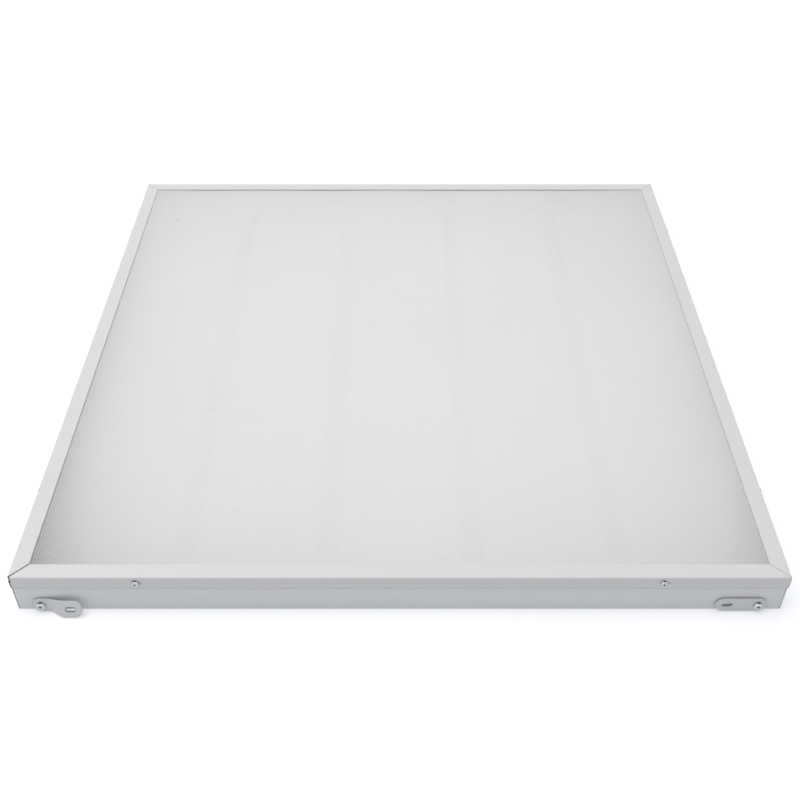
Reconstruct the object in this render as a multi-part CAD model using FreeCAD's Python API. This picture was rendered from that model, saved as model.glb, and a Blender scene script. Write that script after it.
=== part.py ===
import FreeCAD, Part
import math
import os
from FreeCAD import Placement, Rotation, Vector

# Square LED ceiling light, 600 mm module, lying on its back with the lit face up.
# X runs to the right, Y to the back, Z up. The origin is the centre of the back plane.
# All sizes are in millimetres.

# ---- Overall size and sheet metal ----
face_size = 595.0  # outside of the trim, each way
depth = 38.5  # back plane to the trim's face
sheet = 0.5  # steel of the tray and the trim
bend_radius = 1.2  # outside of every sheet-metal bend
slip_gap = 0.1  # between the trim's flange and the tray's wall

# ---- Trim rails ----
trim_face = 13.5  # width of the visible face
trim_flange = 12.0  # height of the flange down the wall
mitre_gap = 0.3  # between rails at a closed corner
open_mitre_gap = 1.1  # at the front left corner, which stands a little open
trim_notch = 0.9  # radius of the bend relief at the rails' ends, where the corner is closed
notch_stretch = 3.0  # depth of the bend relief over its radius

# ---- Diffuser sheet ----
diffuser_sheet = 1.8
diffuser_edge_gap = 1.9  # to the inside of the trim's flange
diffuser_play = 1.4  # free height between the sheet and the trim's face
diffuser_corner = 3.0

# ---- Tray ----
lip_width = 9.5  # inward lip that the diffuser lies on
corner_gap = 0.5  # between the folded walls at each corner
corner_relief = 1.6  # radius of the relief hole at the foot of each corner
tab_length = 11.0  # tab of the front and back walls behind the side walls
tab_gap = 0.1
press_height = 2.5  # height of the ribs and bosses pressed up from the floor

# ---- LED boards ----
board_count = 4
board_pitch = 117.5
board_y = 8.0  # middle of the boards, set back to leave room at the front
board_width = 18.0
board_sheet = 1.2
section_length = 76.0  # one fixing in the middle of each section, and as many sections as fit
leds_per_section = 4
rib_margin = 2.0  # plateau beyond the board on each side
led_width = 3.5
led_length = 2.8
led_height = 0.7
led_draft = 0.15  # how much narrower each side of the package is at its top

# ---- Poke-in connectors on the boards ----
connector_width = 4.6
connector_length = 8.0
connector_height = 4.2
connector_setback = 12.0  # from the board's end to the connector's mouth

# ---- Screws ----
board_thread = 1.45
board_screw_length = 3.7
board_head = 2.75
board_head_height = 1.7
trim_thread = 1.4
trim_screw_length = 6.5
trim_screw_tip = 2.0
trim_head = 2.8
trim_head_height = 2.2
trim_screw_x = 201.0
trim_slot_reach = 5.4  # from the screw's axis to the slot's far end
trim_slot_back = 2.0  # from the screw's axis to its near end
thread_gap = 0.05  # radial, in every screw hole
shank_gap = 0.2  # radial, where a screw only passes through
pivot_thread = 2.0
pivot_screw_length = 10.0
pivot_head = 3.5
pivot_head_height = 2.4

# ---- Swivel brackets ----
bracket_sheet = 1.2
bracket_width = 13.4
bracket_reach = 32.7  # pivot to free end
slot_centre = 23.7  # pivot to the middle of the slot
slot_length = 8.6
slot_width = 4.4
pivot_inset = 20.1  # from the face's side edge
pivot_height = 7.9
running_gap = 0.08  # screw in the bracket's hole, radial
side_gap = 0.1  # bracket to the nut's flange and to the screw's head
bent_set = 4.4  # how far the front left bracket's free end stands out
bent_twist = 18.0  # degrees that its free end is twisted, with the lower edge outwards
bend_start = 4.0  # from the pivot
bend_end = 19.2
bend_steps = 10
nut_flange = 4.0
nut_flange_sheet = 1.0
nut_body = 2.95
nut_length = 9.0
nut_bulge = 0.8  # where the rivet nut is drawn against the wall
nut_bulge_length = 2.2

# ---- Driver ----
driver_side_gap = 3.75  # to the boards beside it
driver_width = 26.0
driver_height = 24.0
driver_wall = 1.2
driver_back_gap = 0.8  # to the leads that pass behind it
ear_length = 7.5
ear_width = 11.0
ear_sheet = 1.5
ear_screw_inset = 3.5  # from the case's end
pad_margin = 1.0  # of the raised pads, past the driver's ears and the terminal block
cover_height = 8.0
cover_gap = 0.1
cover_rim = 2.5  # how far the cover's rim reaches into the case
cover_web = 1.0  # above the case's edge, joins the rim to the cover
cover_edge = 1.0
driver_thread = 1.45
driver_screw_length = 3.9
circuit_sheet = 1.6
circuit_edge_gap = 0.8
standoff = 2.2
standoff_radius = 1.6
driver_entry_gap = 0.4  # from the cover's rim to the leads below it

# ---- On the driver's circuit board ----
soldered_margin = 1.0  # to the board's front and back edges
soldered_gap = 0.5  # to the ends of the leads, and between parts
transformer_length = 24.0
transformer_width = 9.0
transformer_height = 12.0
transformer_limb = 3.5
transformer_yoke = 2.5
transformer_leg = 7.0
winding_gap = 0.2  # to the core
winding_overhang = 4.2
winding_pin = 0.4
winding_pin_inset = 2.0
input_can_radius = 5.0
input_can_length = 14.0
output_can_radius = 4.0
output_can_length = 13.0
film_length = 12.0
film_width = 6.0
film_height = 9.0
rectifier_length = 6.0
rectifier_width = 5.0
rectifier_height = 3.0
rectifier_gap = 2.0  # to the film capacitor
choke_ring = 2.8
choke_winding = 1.2
transistor_length = 10.0
transistor_width = 4.0
transistor_height = 9.0
transistor_tab = 0.8
transistor_tab_height = 12.5

# ---- Terminal block and earth ----
terminal_wall_gap = 5.9  # to the back wall
terminal_length = 18.0
terminal_height = 13.0
pole_pitch = 11.0
pole_count = 3
pole_bore = 2.2
pole_height = 6.0  # bore axis above the block's foot
clamp_wall = 0.8
terminal_screw = 1.6
terminal_screw_inset = 4.5
terminal_fixing = 1.2
terminal_fixing_length = 5.2
terminal_fixing_head = 2.2
terminal_fixing_head_height = 1.5
terminal_fixing_seat = 2.5
grub_depth = 1.5  # below the block's top
driver_slot = 0.6
driver_slot_depth = 0.8
pole_groove = 1.0  # between the poles, in the block's top
pole_groove_depth = 1.2
earth_side_gap = 9.5  # from the first board's rib to the stud's axis
earth_front_gap = 22.5  # from the terminal block
earth_thread = 2.0
earth_height = 9.5
earth_washer = 4.2
earth_washer_sheet = 0.8
earth_lug = 4.0
earth_lug_sheet = 0.8
earth_neck = 3.2
earth_barrel_wall = 0.4
earth_barrel_start = 5.5  # from the stud's axis
earth_barrel_length = 5.5
earth_nut_across = 7.0
earth_nut_height = 3.2

# ---- Cable entry ----
grommet_side_gap = 33.4  # from the left wall to the grommet's axis
grommet_back_gap = 24.4  # from the back wall
grommet_bore = 4.0
grommet_neck = 6.4
grommet_flange = 8.8
grommet_lip = 1.4
grommet_chamfer = 1.0
grommet_seat = 10.5  # top radius of the boss round it

# ---- Leads ----
lead_radius = 1.0
lead_gap = 0.1
lead_insert = 4.0  # how far a lead runs into a housing
wall_lane = 2.1  # lead axis from the back wall
lane_pitch = 4.0  # between lanes on the floor
driver_lane = 13.0  # first floor lane in front of the back wall's lane
jumper_lane = 8.0  # front floor lane behind the front wall's lane
clip_length = 6.0
clip_wall = 1.2

# ---- Worked out from the sizes above ----
face_half = face_size / 2
tray_half = face_half - sheet - slip_gap
inner_half = tray_half - sheet
trim_under = depth - sheet
lip_top = trim_under - diffuser_play - diffuser_sheet
trim_screw_z = depth - trim_flange / 2
press_top = press_height + sheet
press_slope = press_height + sheet * math.sqrt(2)  # from a plateau's edge to its foot
wall_lane_y = inner_half - wall_lane
floor_lead_z = sheet + lead_radius + lead_gap
hole_radius = lead_radius + lead_gap  # of every hole that a lead passes through

rib_reach = rib_margin + press_slope  # from a board's edge to the foot of its rib
board_back_limit = wall_lane_y - driver_lane - lead_radius - lead_gap - rib_reach
section_count = int(2 * (board_back_limit - board_y) / section_length)
board_half = section_length * section_count / 2
board_top = press_top + board_sheet
board_places = [board_pitch * (i - (board_count - 1) / 2) for i in range(board_count)]
fixing_places = [
    board_y + section_length * (i - (section_count - 1) / 2) for i in range(section_count)
]
led_pitch = section_length / leds_per_section
led_count = section_count * leds_per_section - 2
led_places = [board_y + led_pitch * (i - (led_count - 1) / 2) for i in range(led_count)]
back_mouth = board_y + board_half - connector_setback
front_mouth = board_y - board_half + connector_setback
entry_z = board_top + connector_height / 2

pivot_x = face_half - pivot_inset
bracket_back = tray_half + nut_flange_sheet + side_gap  # distance from the centre
bracket_front = bracket_back + bracket_sheet

driver_x = (board_places[-2] + board_places[-1]) / 2
driver_y = wall_lane_y - lead_radius - driver_back_gap - driver_width / 2
driver_length = board_pitch - board_width - 2 * driver_side_gap
driver_left = driver_x - driver_length / 2
driver_right = driver_x + driver_length / 2
driver_front = driver_y - driver_width / 2
driver_back = driver_y + driver_width / 2
driver_foot = press_top
driver_top = driver_foot + driver_height
driver_split = driver_top - cover_height
driver_entry_z = driver_split - cover_rim - hole_radius - driver_entry_gap
driver_holes = [driver_y + lane_pitch * (i - 1) for i in range(3)]
pad_back = wall_lane_y - lead_radius - lead_gap - press_slope
pad_front = driver_front + pad_margin
ear_y = pad_back - pad_margin - ear_width / 2
ear_screw_places = [driver_left - ear_screw_inset, driver_right + ear_screw_inset]

grommet_x = grommet_side_gap - inner_half
grommet_y = inner_half - grommet_back_gap
first_rib_foot = board_places[0] - board_width / 2 - rib_reach
terminal_x = (grommet_x + grommet_seat + press_slope + first_rib_foot) / 2
terminal_width = pole_pitch * pole_count
terminal_y = inner_half - terminal_wall_gap - terminal_width / 2
pole_places = [terminal_y + pole_pitch * (i - (pole_count - 1) / 2) for i in range(pole_count)]
pole_z = press_top + pole_height
earth_x = first_rib_foot - earth_side_gap
earth_y = terminal_y - terminal_width / 2 - earth_front_gap
washer_top = sheet + earth_washer_sheet
lug_top = washer_top + earth_lug_sheet
barrel_radius = hole_radius + earth_barrel_wall
barrel_z = washer_top + barrel_radius

clip_places = [(a + b) / 2 for a, b in zip(board_places, board_places[1:-1])]
small = 0.01  # fused shapes run into each other by this much
past = 1.0  # cutters run past a face by this much
far = 50.0  # length of a cutter that only has to reach through


# ---- Basic shapes ----
def block(x0, x1, y0, y1, z0, z1):
    return Part.makeBox(x1 - x0, y1 - y0, z1 - z0, Vector(x0, y0, z0))


def rod_x(y, z, x0, x1, radius):
    return Part.makeCylinder(radius, x1 - x0, Vector(x0, y, z), Vector(1, 0, 0))


def rod_y(x, z, y0, y1, radius):
    return Part.makeCylinder(radius, y1 - y0, Vector(x, y0, z), Vector(0, 1, 0))


def rod_z(x, y, z0, z1, radius):
    return Part.makeCylinder(radius, z1 - z0, Vector(x, y, z0), Vector(0, 0, 1))


def moved(shape, x=0.0, y=0.0, z=0.0):
    copy = shape.copy()
    copy.translate(Vector(x, y, z))
    return copy


def turned(shape, degrees, axis=Vector(0, 0, 1)):
    copy = shape.copy()
    copy.rotate(Vector(0, 0, 0), axis, degrees)
    return copy


def fused(shapes):
    shape = shapes[0]
    if len(shapes) > 1:
        shape = shape.multiFuse(shapes[1:])
    return shape.removeSplitter()


def cut_all(shape, cutters):
    return shape.cut(cutters)


def rectangle(x, y, half_x, half_y, z):
    corners = [(-1, -1), (1, -1), (1, 1), (-1, 1), (-1, -1)]
    return Part.makePolygon([Vector(x + half_x * i, y + half_y * j, z) for i, j in corners])


def frustum(x, y, low, high, z0, z1):
    """A block that narrows upwards. low and high are its half widths along X and Y at z0 and z1."""
    return Part.makeLoft([rectangle(x, y, *low, z0), rectangle(x, y, *high, z1)], True, True)


def bent_strip(corners, thickness, radius):
    """Face in the XY plane of a sheet bent along corners. The sheet lies to the left of the line."""
    points = [Vector(x, y, 0) for x, y in corners]
    normals = []
    for a, b in zip(points, points[1:]):
        along = (b - a).normalize()
        normals.append(Vector(-along.y, along.x, 0))
    near, off = [points[0]], [points[0] + normals[0] * thickness]
    for i in range(1, len(points) - 1):
        before, after = normals[i - 1], normals[i]
        middle = (before + after).normalize()
        half_turn = math.acos(max(-1.0, min(1.0, before.dot(middle))))
        inward = before.cross(after).z > 0
        r_near = radius if inward else radius - thickness
        r_off = radius - thickness if inward else radius
        side = 1 if inward else -1
        centre = points[i] + middle * (side * r_near / math.cos(half_turn))
        for line, r in ((near, r_near), (off, r_off)):
            line.append(tuple(centre - normal * (side * r) for normal in (before, middle, after)))
    near.append(points[-1])
    off.append(points[-1] + normals[-1] * thickness)
    edges = line_edges(near) + [Part.makeLine(near[-1], off[-1])]
    edges += line_edges(off) + [Part.makeLine(off[0], near[0])]
    return Part.Face(Part.Wire(Part.__sortEdges__(edges)))


def line_edges(line):
    """Edges along a list of points and (start, middle, end) arcs."""
    edges, last = [], line[0]
    for item in line[1:]:
        start = item[0] if isinstance(item, tuple) else item
        edges.append(Part.makeLine(last, start))
        last = start
        if isinstance(item, tuple):
            edges.append(Part.Arc(*item).toShape())
            last = item[2]
    return edges


def rail(corners, half, gap_left, gap_right):
    """A bent strip along the front edge of a square, mitred at both ends. corners are (inward, up)."""
    face = bent_strip(corners, sheet, bend_radius)
    # local X of the face is inward, local Y is up: stand it up and run it along X
    solid = face.extrude(Vector(0, 0, 2 * half + 2 * far))
    solid.Placement = Placement(Vector(-half - far, -half, 0), Rotation(Vector(1, 1, 1), 120))
    reach = max(c[0] for c in corners) + small
    left, right = gap_left / math.sqrt(2), gap_right / math.sqrt(2)
    corners_xy = [
        (-half - past + left, -half - past),
        (half + past - right, -half - past),
        (half - reach - right, -half + reach),
        (-half + reach + left, -half + reach),
    ]
    outline = [Vector(x, y, -past) for x, y in corners_xy + corners_xy[:1]]
    wedge = Part.Face(Part.makePolygon(outline)).extrude(Vector(0, 0, depth + 2 * past))
    return solid.common(wedge)


def pan_screw(thread, length, head, head_height, tip=0.0):
    """Pan-head screw with a cross recess. Its head stands on z = 0 and its shank points down."""
    rim, crown = 0.35 * head_height, 0.5 * head
    shoulder = Vector(0.86 * head, 0, rim + 0.68 * (head_height - rim))
    start, end = Vector(head, 0, rim), Vector(crown, 0, head_height)
    foot, edge, top = Vector(0, 0, 0), Vector(head, 0, 0), Vector(0, 0, head_height)
    edges = [
        Part.makeLine(foot, edge),
        Part.makeLine(edge, start),
        Part.Arc(start, shoulder, end).toShape(),
        Part.makeLine(end, top),
        Part.makeLine(top, foot),
    ]
    cap = Part.Face(Part.Wire(edges)).revolve(foot, Vector(0, 0, 1), 360)
    pieces = [cap, rod_z(0, 0, tip - length, small, thread)]
    if tip:
        pieces.append(Part.makeCone(0.35 * thread, thread, tip, Vector(0, 0, -length)))
    # the recess is a cross that narrows downwards
    arm, wide, floor = 0.52 * head, 0.13 * head, 0.45 * head_height
    low_arm, low_wide = 0.55 * arm, 0.7 * wide
    recess = fused([
        frustum(0, 0, (low_arm, low_wide), (arm, wide), floor, head_height + small),
        frustum(0, 0, (low_wide, low_arm), (wide, arm), floor, head_height + small),
    ])
    return fused(pieces).cut(recess)


def lead(points):
    """Insulated lead along points: straight runs joined by tangent arcs."""
    p = [Vector(*q) for q in points]
    line = [p[0]]
    bent_share = 0.45  # of the shorter run, on each side of a corner
    for a, b, c in zip(p, p[1:], p[2:]):
        into, out = (b - a).normalize(), (c - b).normalize()
        turn = into.getAngle(out)
        reach = bent_share * min((b - a).Length, (c - b).Length)
        radius = reach / math.tan(turn / 2)
        towards = (out - into).normalize()
        middle = b + towards * (radius / math.cos(turn / 2) - radius)
        line.append((b - into * reach, middle, b + out * reach))
    line.append(p[-1])
    path = Part.Wire(line_edges(line))
    circle = Part.Wire([Part.makeCircle(lead_radius, p[0], p[1] - p[0])])
    tube = path.makePipeShell([circle], True, False)
    wanted = math.pi * lead_radius**2 * path.Length
    if abs(tube.Volume - wanted) > 0.01 * wanted:
        print("lead volume", tube.Volume, "for", wanted)
    print("lead", round(path.Length, 1), "mm")
    return tube


# ---- Tray ----
def pressed(shape, cavity):
    """What a press does to the floor: the shell that rises, and the hollow under it."""
    return shape.cut(cavity), cavity


def pressed_rib(x, y, half_x, half_y):
    """Long plateau with 45 degree flanks, pressed up from the floor."""
    slope = sheet * (math.sqrt(2) - 1)
    low = (half_x + press_height, half_y + press_height)
    hollow = frustum(x, y, low, (half_x, half_y), 0, press_height)
    outer_low = (low[0] + slope + sheet, low[1] + slope + sheet)
    outer_high = (half_x + slope, half_y + slope)
    return pressed(frustum(x, y, outer_low, outer_high, 0, press_top), hollow)


def pressed_boss(x, y, radius):
    slope = sheet * (math.sqrt(2) - 1)
    up = Vector(0, 0, 1)
    hollow = Part.makeCone(radius + press_height, radius, press_height, Vector(x, y, 0), up)
    outer = Part.makeCone(
        radius + press_height + slope + sheet, radius + slope, press_top, Vector(x, y, 0), up
    )
    return pressed(outer, hollow)


def housing_tray():
    reach = 2 * bend_radius
    side = [
        (reach, 0),
        (0, 0),
        (0, lip_top),
        (lip_width, lip_top),
    ]
    # the strip's material has to lie inward of this line, so it runs from the lip to the floor
    front = rail(side[::-1], tray_half, corner_gap, corner_gap)
    floor_half = tray_half - reach
    shapes = [block(-floor_half, floor_half, -floor_half, floor_half, 0, sheet)]
    shapes += [turned(front, quarter * 90) for quarter in range(4)]
    tab = block(
        -inner_half + tab_gap,
        -inner_half + tab_gap + sheet,
        -inner_half - sheet / 2,
        -inner_half + tab_length,
        2 * bend_radius,
        lip_top - 2 * bend_radius,
    )
    for y_side in (1, -1):
        for x_side in (1, -1):
            corner = tab.copy()
            if x_side < 0:
                corner = corner.mirror(Vector(0, 0, 0), Vector(1, 0, 0))
            if y_side < 0:
                corner = corner.mirror(Vector(0, 0, 0), Vector(0, 1, 0))
            shapes.append(corner)
    presses = [
        pressed_rib(x, board_y, board_width / 2 + rib_margin, board_half + rib_margin)
        for x in board_places
    ]
    block_half_x, block_half_y = terminal_length / 2 + pad_margin, terminal_width / 2 + pad_margin
    presses.append(pressed_rib(terminal_x, terminal_y, block_half_x, block_half_y))
    pad_half_x = driver_length / 2 + ear_length + pad_margin
    pad_half_y = (pad_back - pad_front) / 2
    presses.append(pressed_rib(driver_x, (pad_back + pad_front) / 2, pad_half_x, pad_half_y))
    presses.append(pressed_boss(grommet_x, grommet_y, grommet_seat))
    shapes += [shell for shell, hollow in presses]
    body = fused(shapes).cut([hollow for shell, hollow in presses])
    places = [(x, y, board_thread) for x in board_places for y in fixing_places]
    places += [(x, ear_y, driver_thread) for x in ear_screw_places]
    places += [(x, y, terminal_fixing) for x, y in terminal_fixings()]
    places += [(grommet_x, grommet_y, grommet_neck), (earth_x, earth_y, earth_thread)]
    holes = [rod_z(x, y, -past, press_top + past, radius + thread_gap) for x, y, radius in places]
    for quarter in range(4):
        wall_holes = [wall_hole(x, trim_screw_z, trim_thread) for x in (-trim_screw_x, trim_screw_x)]
        if quarter % 2 == 0:
            wall_holes += [wall_hole(x, pivot_height, nut_body) for x in (-pivot_x, pivot_x)]
        wall_holes.append(rod_z(-floor_half, -floor_half, -past, 2 * corner_relief, corner_relief))
        holes += [turned(hole, quarter * 90) for hole in wall_holes]
    return cut_all(body, holes)


def wall_hole(x, z, radius):
    """Cutter through the front wall for a thread or a body of this radius."""
    return rod_y(x, z, -tray_half - past, -inner_half + past, radius + thread_gap)


# ---- Trim ----
def trim_rail(gap_left, gap_right):
    """Front rail of the trim, with its two slotted screw holes."""
    corners = [(trim_face, depth), (0, depth), (0, depth - trim_flange)]
    shape = rail(corners, face_half, gap_left, gap_right)
    cutters = []
    half = trim_thread + shank_gap
    for x in (-trim_screw_x, trim_screw_x):
        near, farther = x - trim_slot_back + half, x + trim_slot_reach - half
        y0, y1 = -face_half - past, -face_half + sheet + past
        cutters.append(block(near, farther, y0, y1, trim_screw_z - half, trim_screw_z + half))
        cutters += [rod_y(end, trim_screw_z, y0, y1, half) for end in (near, farther)]
    for side, gap in ((-1, gap_left), (1, gap_right)):
        corner = side * (face_half - sheet / 2)
        radius = trim_notch + gap - mitre_gap
        notch = rod_z(corner, -face_half + sheet / 2, depth - notch_stretch * radius, depth + past, radius)
        cutters.append(notch)
    return cut_all(shape, cutters)


def trim_rails():
    return {
        "trim_front": trim_rail(open_mitre_gap, mitre_gap),
        "trim_right": turned(trim_rail(mitre_gap, mitre_gap), 90),
        "trim_back": turned(trim_rail(mitre_gap, mitre_gap), 180),
        "trim_left": turned(trim_rail(mitre_gap, open_mitre_gap), 270),
    }


def trim_screws():
    screw = pan_screw(trim_thread, trim_screw_length, trim_head, trim_head_height, trim_screw_tip)
    screw = turned(screw, 90, Vector(1, 0, 0))
    screws = []
    for quarter in range(4):
        for x in (-trim_screw_x, trim_screw_x):
            screws.append(turned(moved(screw, x, -face_half, trim_screw_z), quarter * 90))
    return screws


# ---- Diffuser ----
def diffuser():
    half = face_half - sheet - diffuser_edge_gap
    slab = block(-half, half, -half, half, lip_top, lip_top + diffuser_sheet)
    upright = [e for e in slab.Edges if abs(e.tangentAt(e.FirstParameter).z) > 0.9]
    return slab.makeFillet(diffuser_corner, upright)


# ---- LED boards ----
def led_board(x):
    x0, x1 = x - board_width / 2, x + board_width / 2
    y0, y1 = board_y - board_half, board_y + board_half
    body = block(x0, x1, y0, y1, press_top, board_top)
    radius = board_thread + shank_gap
    holes = [rod_z(x, y, press_top - past, board_top + past, radius) for y in fixing_places]
    return cut_all(body, holes)


def led_chips(x):
    """LED packages, each a white frame that narrows upwards."""
    chips = []
    for y in led_places:
        low = (led_width / 2, led_length / 2)
        high = (low[0] - led_draft, low[1] - led_draft)
        chips.append(frustum(x, y, low, high, board_top, board_top + led_height))
    return chips


def board_screws():
    screw = pan_screw(board_thread, board_screw_length, board_head, board_head_height)
    return [moved(screw, x, y, board_top) for x in board_places for y in fixing_places]


def connectors(mouth, end):
    """Poke-in connectors at one end of the boards: end is 1 at the back and -1 at the front."""
    made = []
    for x in board_places:
        y0, y1 = sorted((mouth, mouth - end * connector_length))
        body = block(
            x - connector_width / 2,
            x + connector_width / 2,
            y0,
            y1,
            board_top,
            board_top + connector_height,
        )
        h0, h1 = sorted((mouth - end * (lead_insert + lead_gap), mouth + end * past))
        made.append(body.cut(rod_y(x, entry_z, h0, h1, hole_radius)))
    return made


# ---- Swivel brackets ----
def bracket_section(x, set_out, twist):
    """Outline across the bracket's sheet at x. Its outer face is at y = 0 where it isn't bent."""
    half = bracket_width / 2 + past
    lean = half * math.tan(math.radians(twist))
    through = bracket_sheet / math.cos(math.radians(twist))
    top, foot = lean - set_out, -lean - set_out
    corners = [(foot, -half), (foot + through, -half), (top + through, half), (top, half)]
    return Part.makePolygon([Vector(x, y, z) for y, z in corners + corners[:1]])


def bracket_sheet_metal(set_out, twist):
    """The bracket's sheet before its outline is cut. The bend eases in and out."""
    near, end = -bracket_width, bracket_reach + past
    places = [(near, 0.0), (bend_start, 0.0)]
    for step in range(1, bend_steps + 1):
        share = step / bend_steps
        ease = (1 - math.cos(math.pi * share)) / 2
        places.append((bend_start + share * (bend_end - bend_start), ease))
    places.append((end, 1.0))
    sections = [bracket_section(x, ease * set_out, ease * twist) for x, ease in places]
    return Part.makeLoft(sections, True, True)


def swivel_bracket(set_out=0.0, twist=0.0):
    """Front left bracket in place: pivot hole at the left, slot at the right."""
    half = bracket_width / 2
    if set_out:
        plate = bracket_sheet_metal(set_out, twist)
    else:
        plate = block(-bracket_width, bracket_reach + past, 0, bracket_sheet, -half - past, half + past)
    y0, y1 = -2 * set_out - bracket_sheet, 2 * bracket_sheet
    end = bracket_reach - half
    outline = fused([
        rod_y(0, 0, y0, y1, half),
        block(0, end, y0, y1, -half, half),
        rod_y(end, 0, y0, y1, half),
    ])
    plate = plate.common(outline)
    slot_half = slot_width / 2
    slot_run = slot_length / 2 - slot_half
    cutters = [
        rod_y(0, 0, y0, y1, pivot_thread + running_gap),
        block(slot_centre - slot_run, slot_centre + slot_run, y0, y1, -slot_half, slot_half),
        rod_y(slot_centre - slot_run, 0, y0, y1, slot_half),
        rod_y(slot_centre + slot_run, 0, y0, y1, slot_half),
    ]
    return moved(cut_all(plate, cutters), -pivot_x, -bracket_front, pivot_height)


def swivel_brackets():
    flat = swivel_bracket()
    return {
        "bracket_front_left": swivel_bracket(bent_set, bent_twist),
        "bracket_front_right": flat.mirror(Vector(0, 0, 0), Vector(1, 0, 0)),
        "bracket_back_left": flat.mirror(Vector(0, 0, 0), Vector(0, 1, 0)),
        "bracket_back_right": turned(flat, 180),
    }


def pivot_hardware():
    """Pivot screws and the rivet nuts that hold them in the tray's walls."""
    screw = pan_screw(pivot_thread, pivot_screw_length, pivot_head, pivot_head_height)
    screw = turned(screw, 90, Vector(1, 0, 0))
    head_plane = bracket_front + side_gap
    screws, nuts = [], []
    for x in (-pivot_x, pivot_x):
        screws.append(moved(screw, x, -head_plane, pivot_height))
        flange = rod_y(x, pivot_height, -tray_half - nut_flange_sheet, -tray_half, nut_flange)
        body = rod_y(x, pivot_height, -tray_half, -tray_half + nut_length, nut_body)
        bulge_end = -inner_half + nut_bulge_length
        bulge = rod_y(x, pivot_height, -inner_half, bulge_end, nut_body + nut_bulge)
        bore = rod_y(x, pivot_height, -tray_half - far, -tray_half + far, pivot_thread + thread_gap)
        nuts.append(fused([flange, body, bulge]).cut(bore))
    screws += [turned(s, 180) for s in screws]
    nuts += [turned(n, 180) for n in nuts]
    return screws, nuts


# ---- Driver ----
def driver_case():
    wall = driver_wall
    outer = block(driver_left, driver_right, driver_front, driver_back, driver_foot, driver_split)
    hollow = block(
        driver_left + wall,
        driver_right - wall,
        driver_front + wall,
        driver_back - wall,
        driver_foot + wall,
        driver_split + past,
    )
    ear_ends = [
        (driver_left - ear_length, driver_left + wall),
        (driver_right - wall, driver_right + ear_length),
    ]
    e0, e1 = ear_y - ear_width / 2, ear_y + ear_width / 2
    ears = [block(x0, x1, e0, e1, press_top, press_top + ear_sheet) for x0, x1 in ear_ends]
    posts = [
        rod_z(x, y, driver_foot + wall / 2, driver_foot + wall + standoff, standoff_radius)
        for x, y in driver_posts()
    ]
    shape = fused([outer.cut(hollow)] + ears + posts)
    radius = driver_thread + shank_gap
    cutters = [
        rod_z(x, ear_y, press_top - past, press_top + ear_sheet + past, radius)
        for x in ear_screw_places
    ]
    end_walls = [
        (driver_left - past, driver_left + wall + past),
        (driver_right - wall - past, driver_right + past),
    ]
    for x0, x1 in end_walls:
        cutters += [rod_x(y, driver_entry_z, x0, x1, hole_radius) for y in driver_holes]
    return cut_all(shape, cutters)


def driver_posts():
    dx = driver_length / 2 - driver_wall - circuit_edge_gap - 2 * standoff_radius
    dy = driver_width / 2 - driver_wall - circuit_edge_gap - 1.5 * standoff_radius
    return [(driver_x + i * dx, driver_y + j * dy) for i in (-1, 1) for j in (-1, 1)]


def driver_layer(inset, z0, z1):
    """Block with the driver's outline drawn in by inset."""
    return block(
        driver_left + inset,
        driver_right - inset,
        driver_front + inset,
        driver_back - inset,
        z0,
        z1,
    )


def driver_cover():
    """Cap that closes the case, with a rim inside its walls."""
    wall, split = driver_wall, driver_split
    web_top = split + 2 * cover_web
    outer = driver_layer(0, split, driver_top)
    hollow = driver_layer(wall, split - past, driver_top - wall)
    rim = driver_layer(wall + cover_gap, split - cover_rim, web_top)
    web = driver_layer(wall / 2, split + cover_web, web_top)
    core = driver_layer(2 * wall + cover_gap, split - cover_rim - past, web_top + past)
    shape = fused([outer.cut(hollow), rim.cut(core), web.cut(core)])
    return shape.makeFillet(cover_edge, [e for e in shape.Edges if is_top_edge(e)])


def is_top_edge(edge):
    box = edge.BoundBox
    return abs(box.ZMin - driver_top) < small and abs(box.ZMax - driver_top) < small


def driver_screws():
    screw = pan_screw(driver_thread, driver_screw_length, board_head, board_head_height)
    return [moved(screw, x, ear_y, press_top + ear_sheet) for x in ear_screw_places]


def centred(half_x, half_y, z0, z1):
    """Block round the driver's middle."""
    return block(driver_x - half_x, driver_x + half_x, driver_y - half_y, driver_y + half_y, z0, z1)


def transformer(z):
    """Core with a middle leg, and the winding round the leg, standing on its pins at height z."""
    half_x, half_y = transformer_length / 2, transformer_width / 2
    leg = transformer_leg / 2
    low, high = z + transformer_yoke, z + transformer_height - transformer_yoke
    window = centred(half_x - transformer_limb, half_y + past, low, high)
    middle = centred(leg, half_y, low - small, high + small)
    core = fused([centred(half_x, half_y, z, z + transformer_height).cut(window), middle])
    coil_x = half_x - transformer_limb - winding_gap
    coil_y = half_y + winding_overhang
    bore = centred(leg + winding_gap, half_y + winding_gap, z, z + transformer_height)
    coil = centred(coil_x, coil_y, low + winding_gap, high - winding_gap).cut(bore)
    pin_x, pin_y = coil_x - winding_pin_inset, coil_y - winding_pin_inset
    pins = [
        rod_z(driver_x + i * pin_x, driver_y + j * pin_y, z, low + winding_gap + small, winding_pin)
        for i in (-1, 1)
        for j in (-1, 1)
    ]
    return core, fused([coil] + pins)


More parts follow.
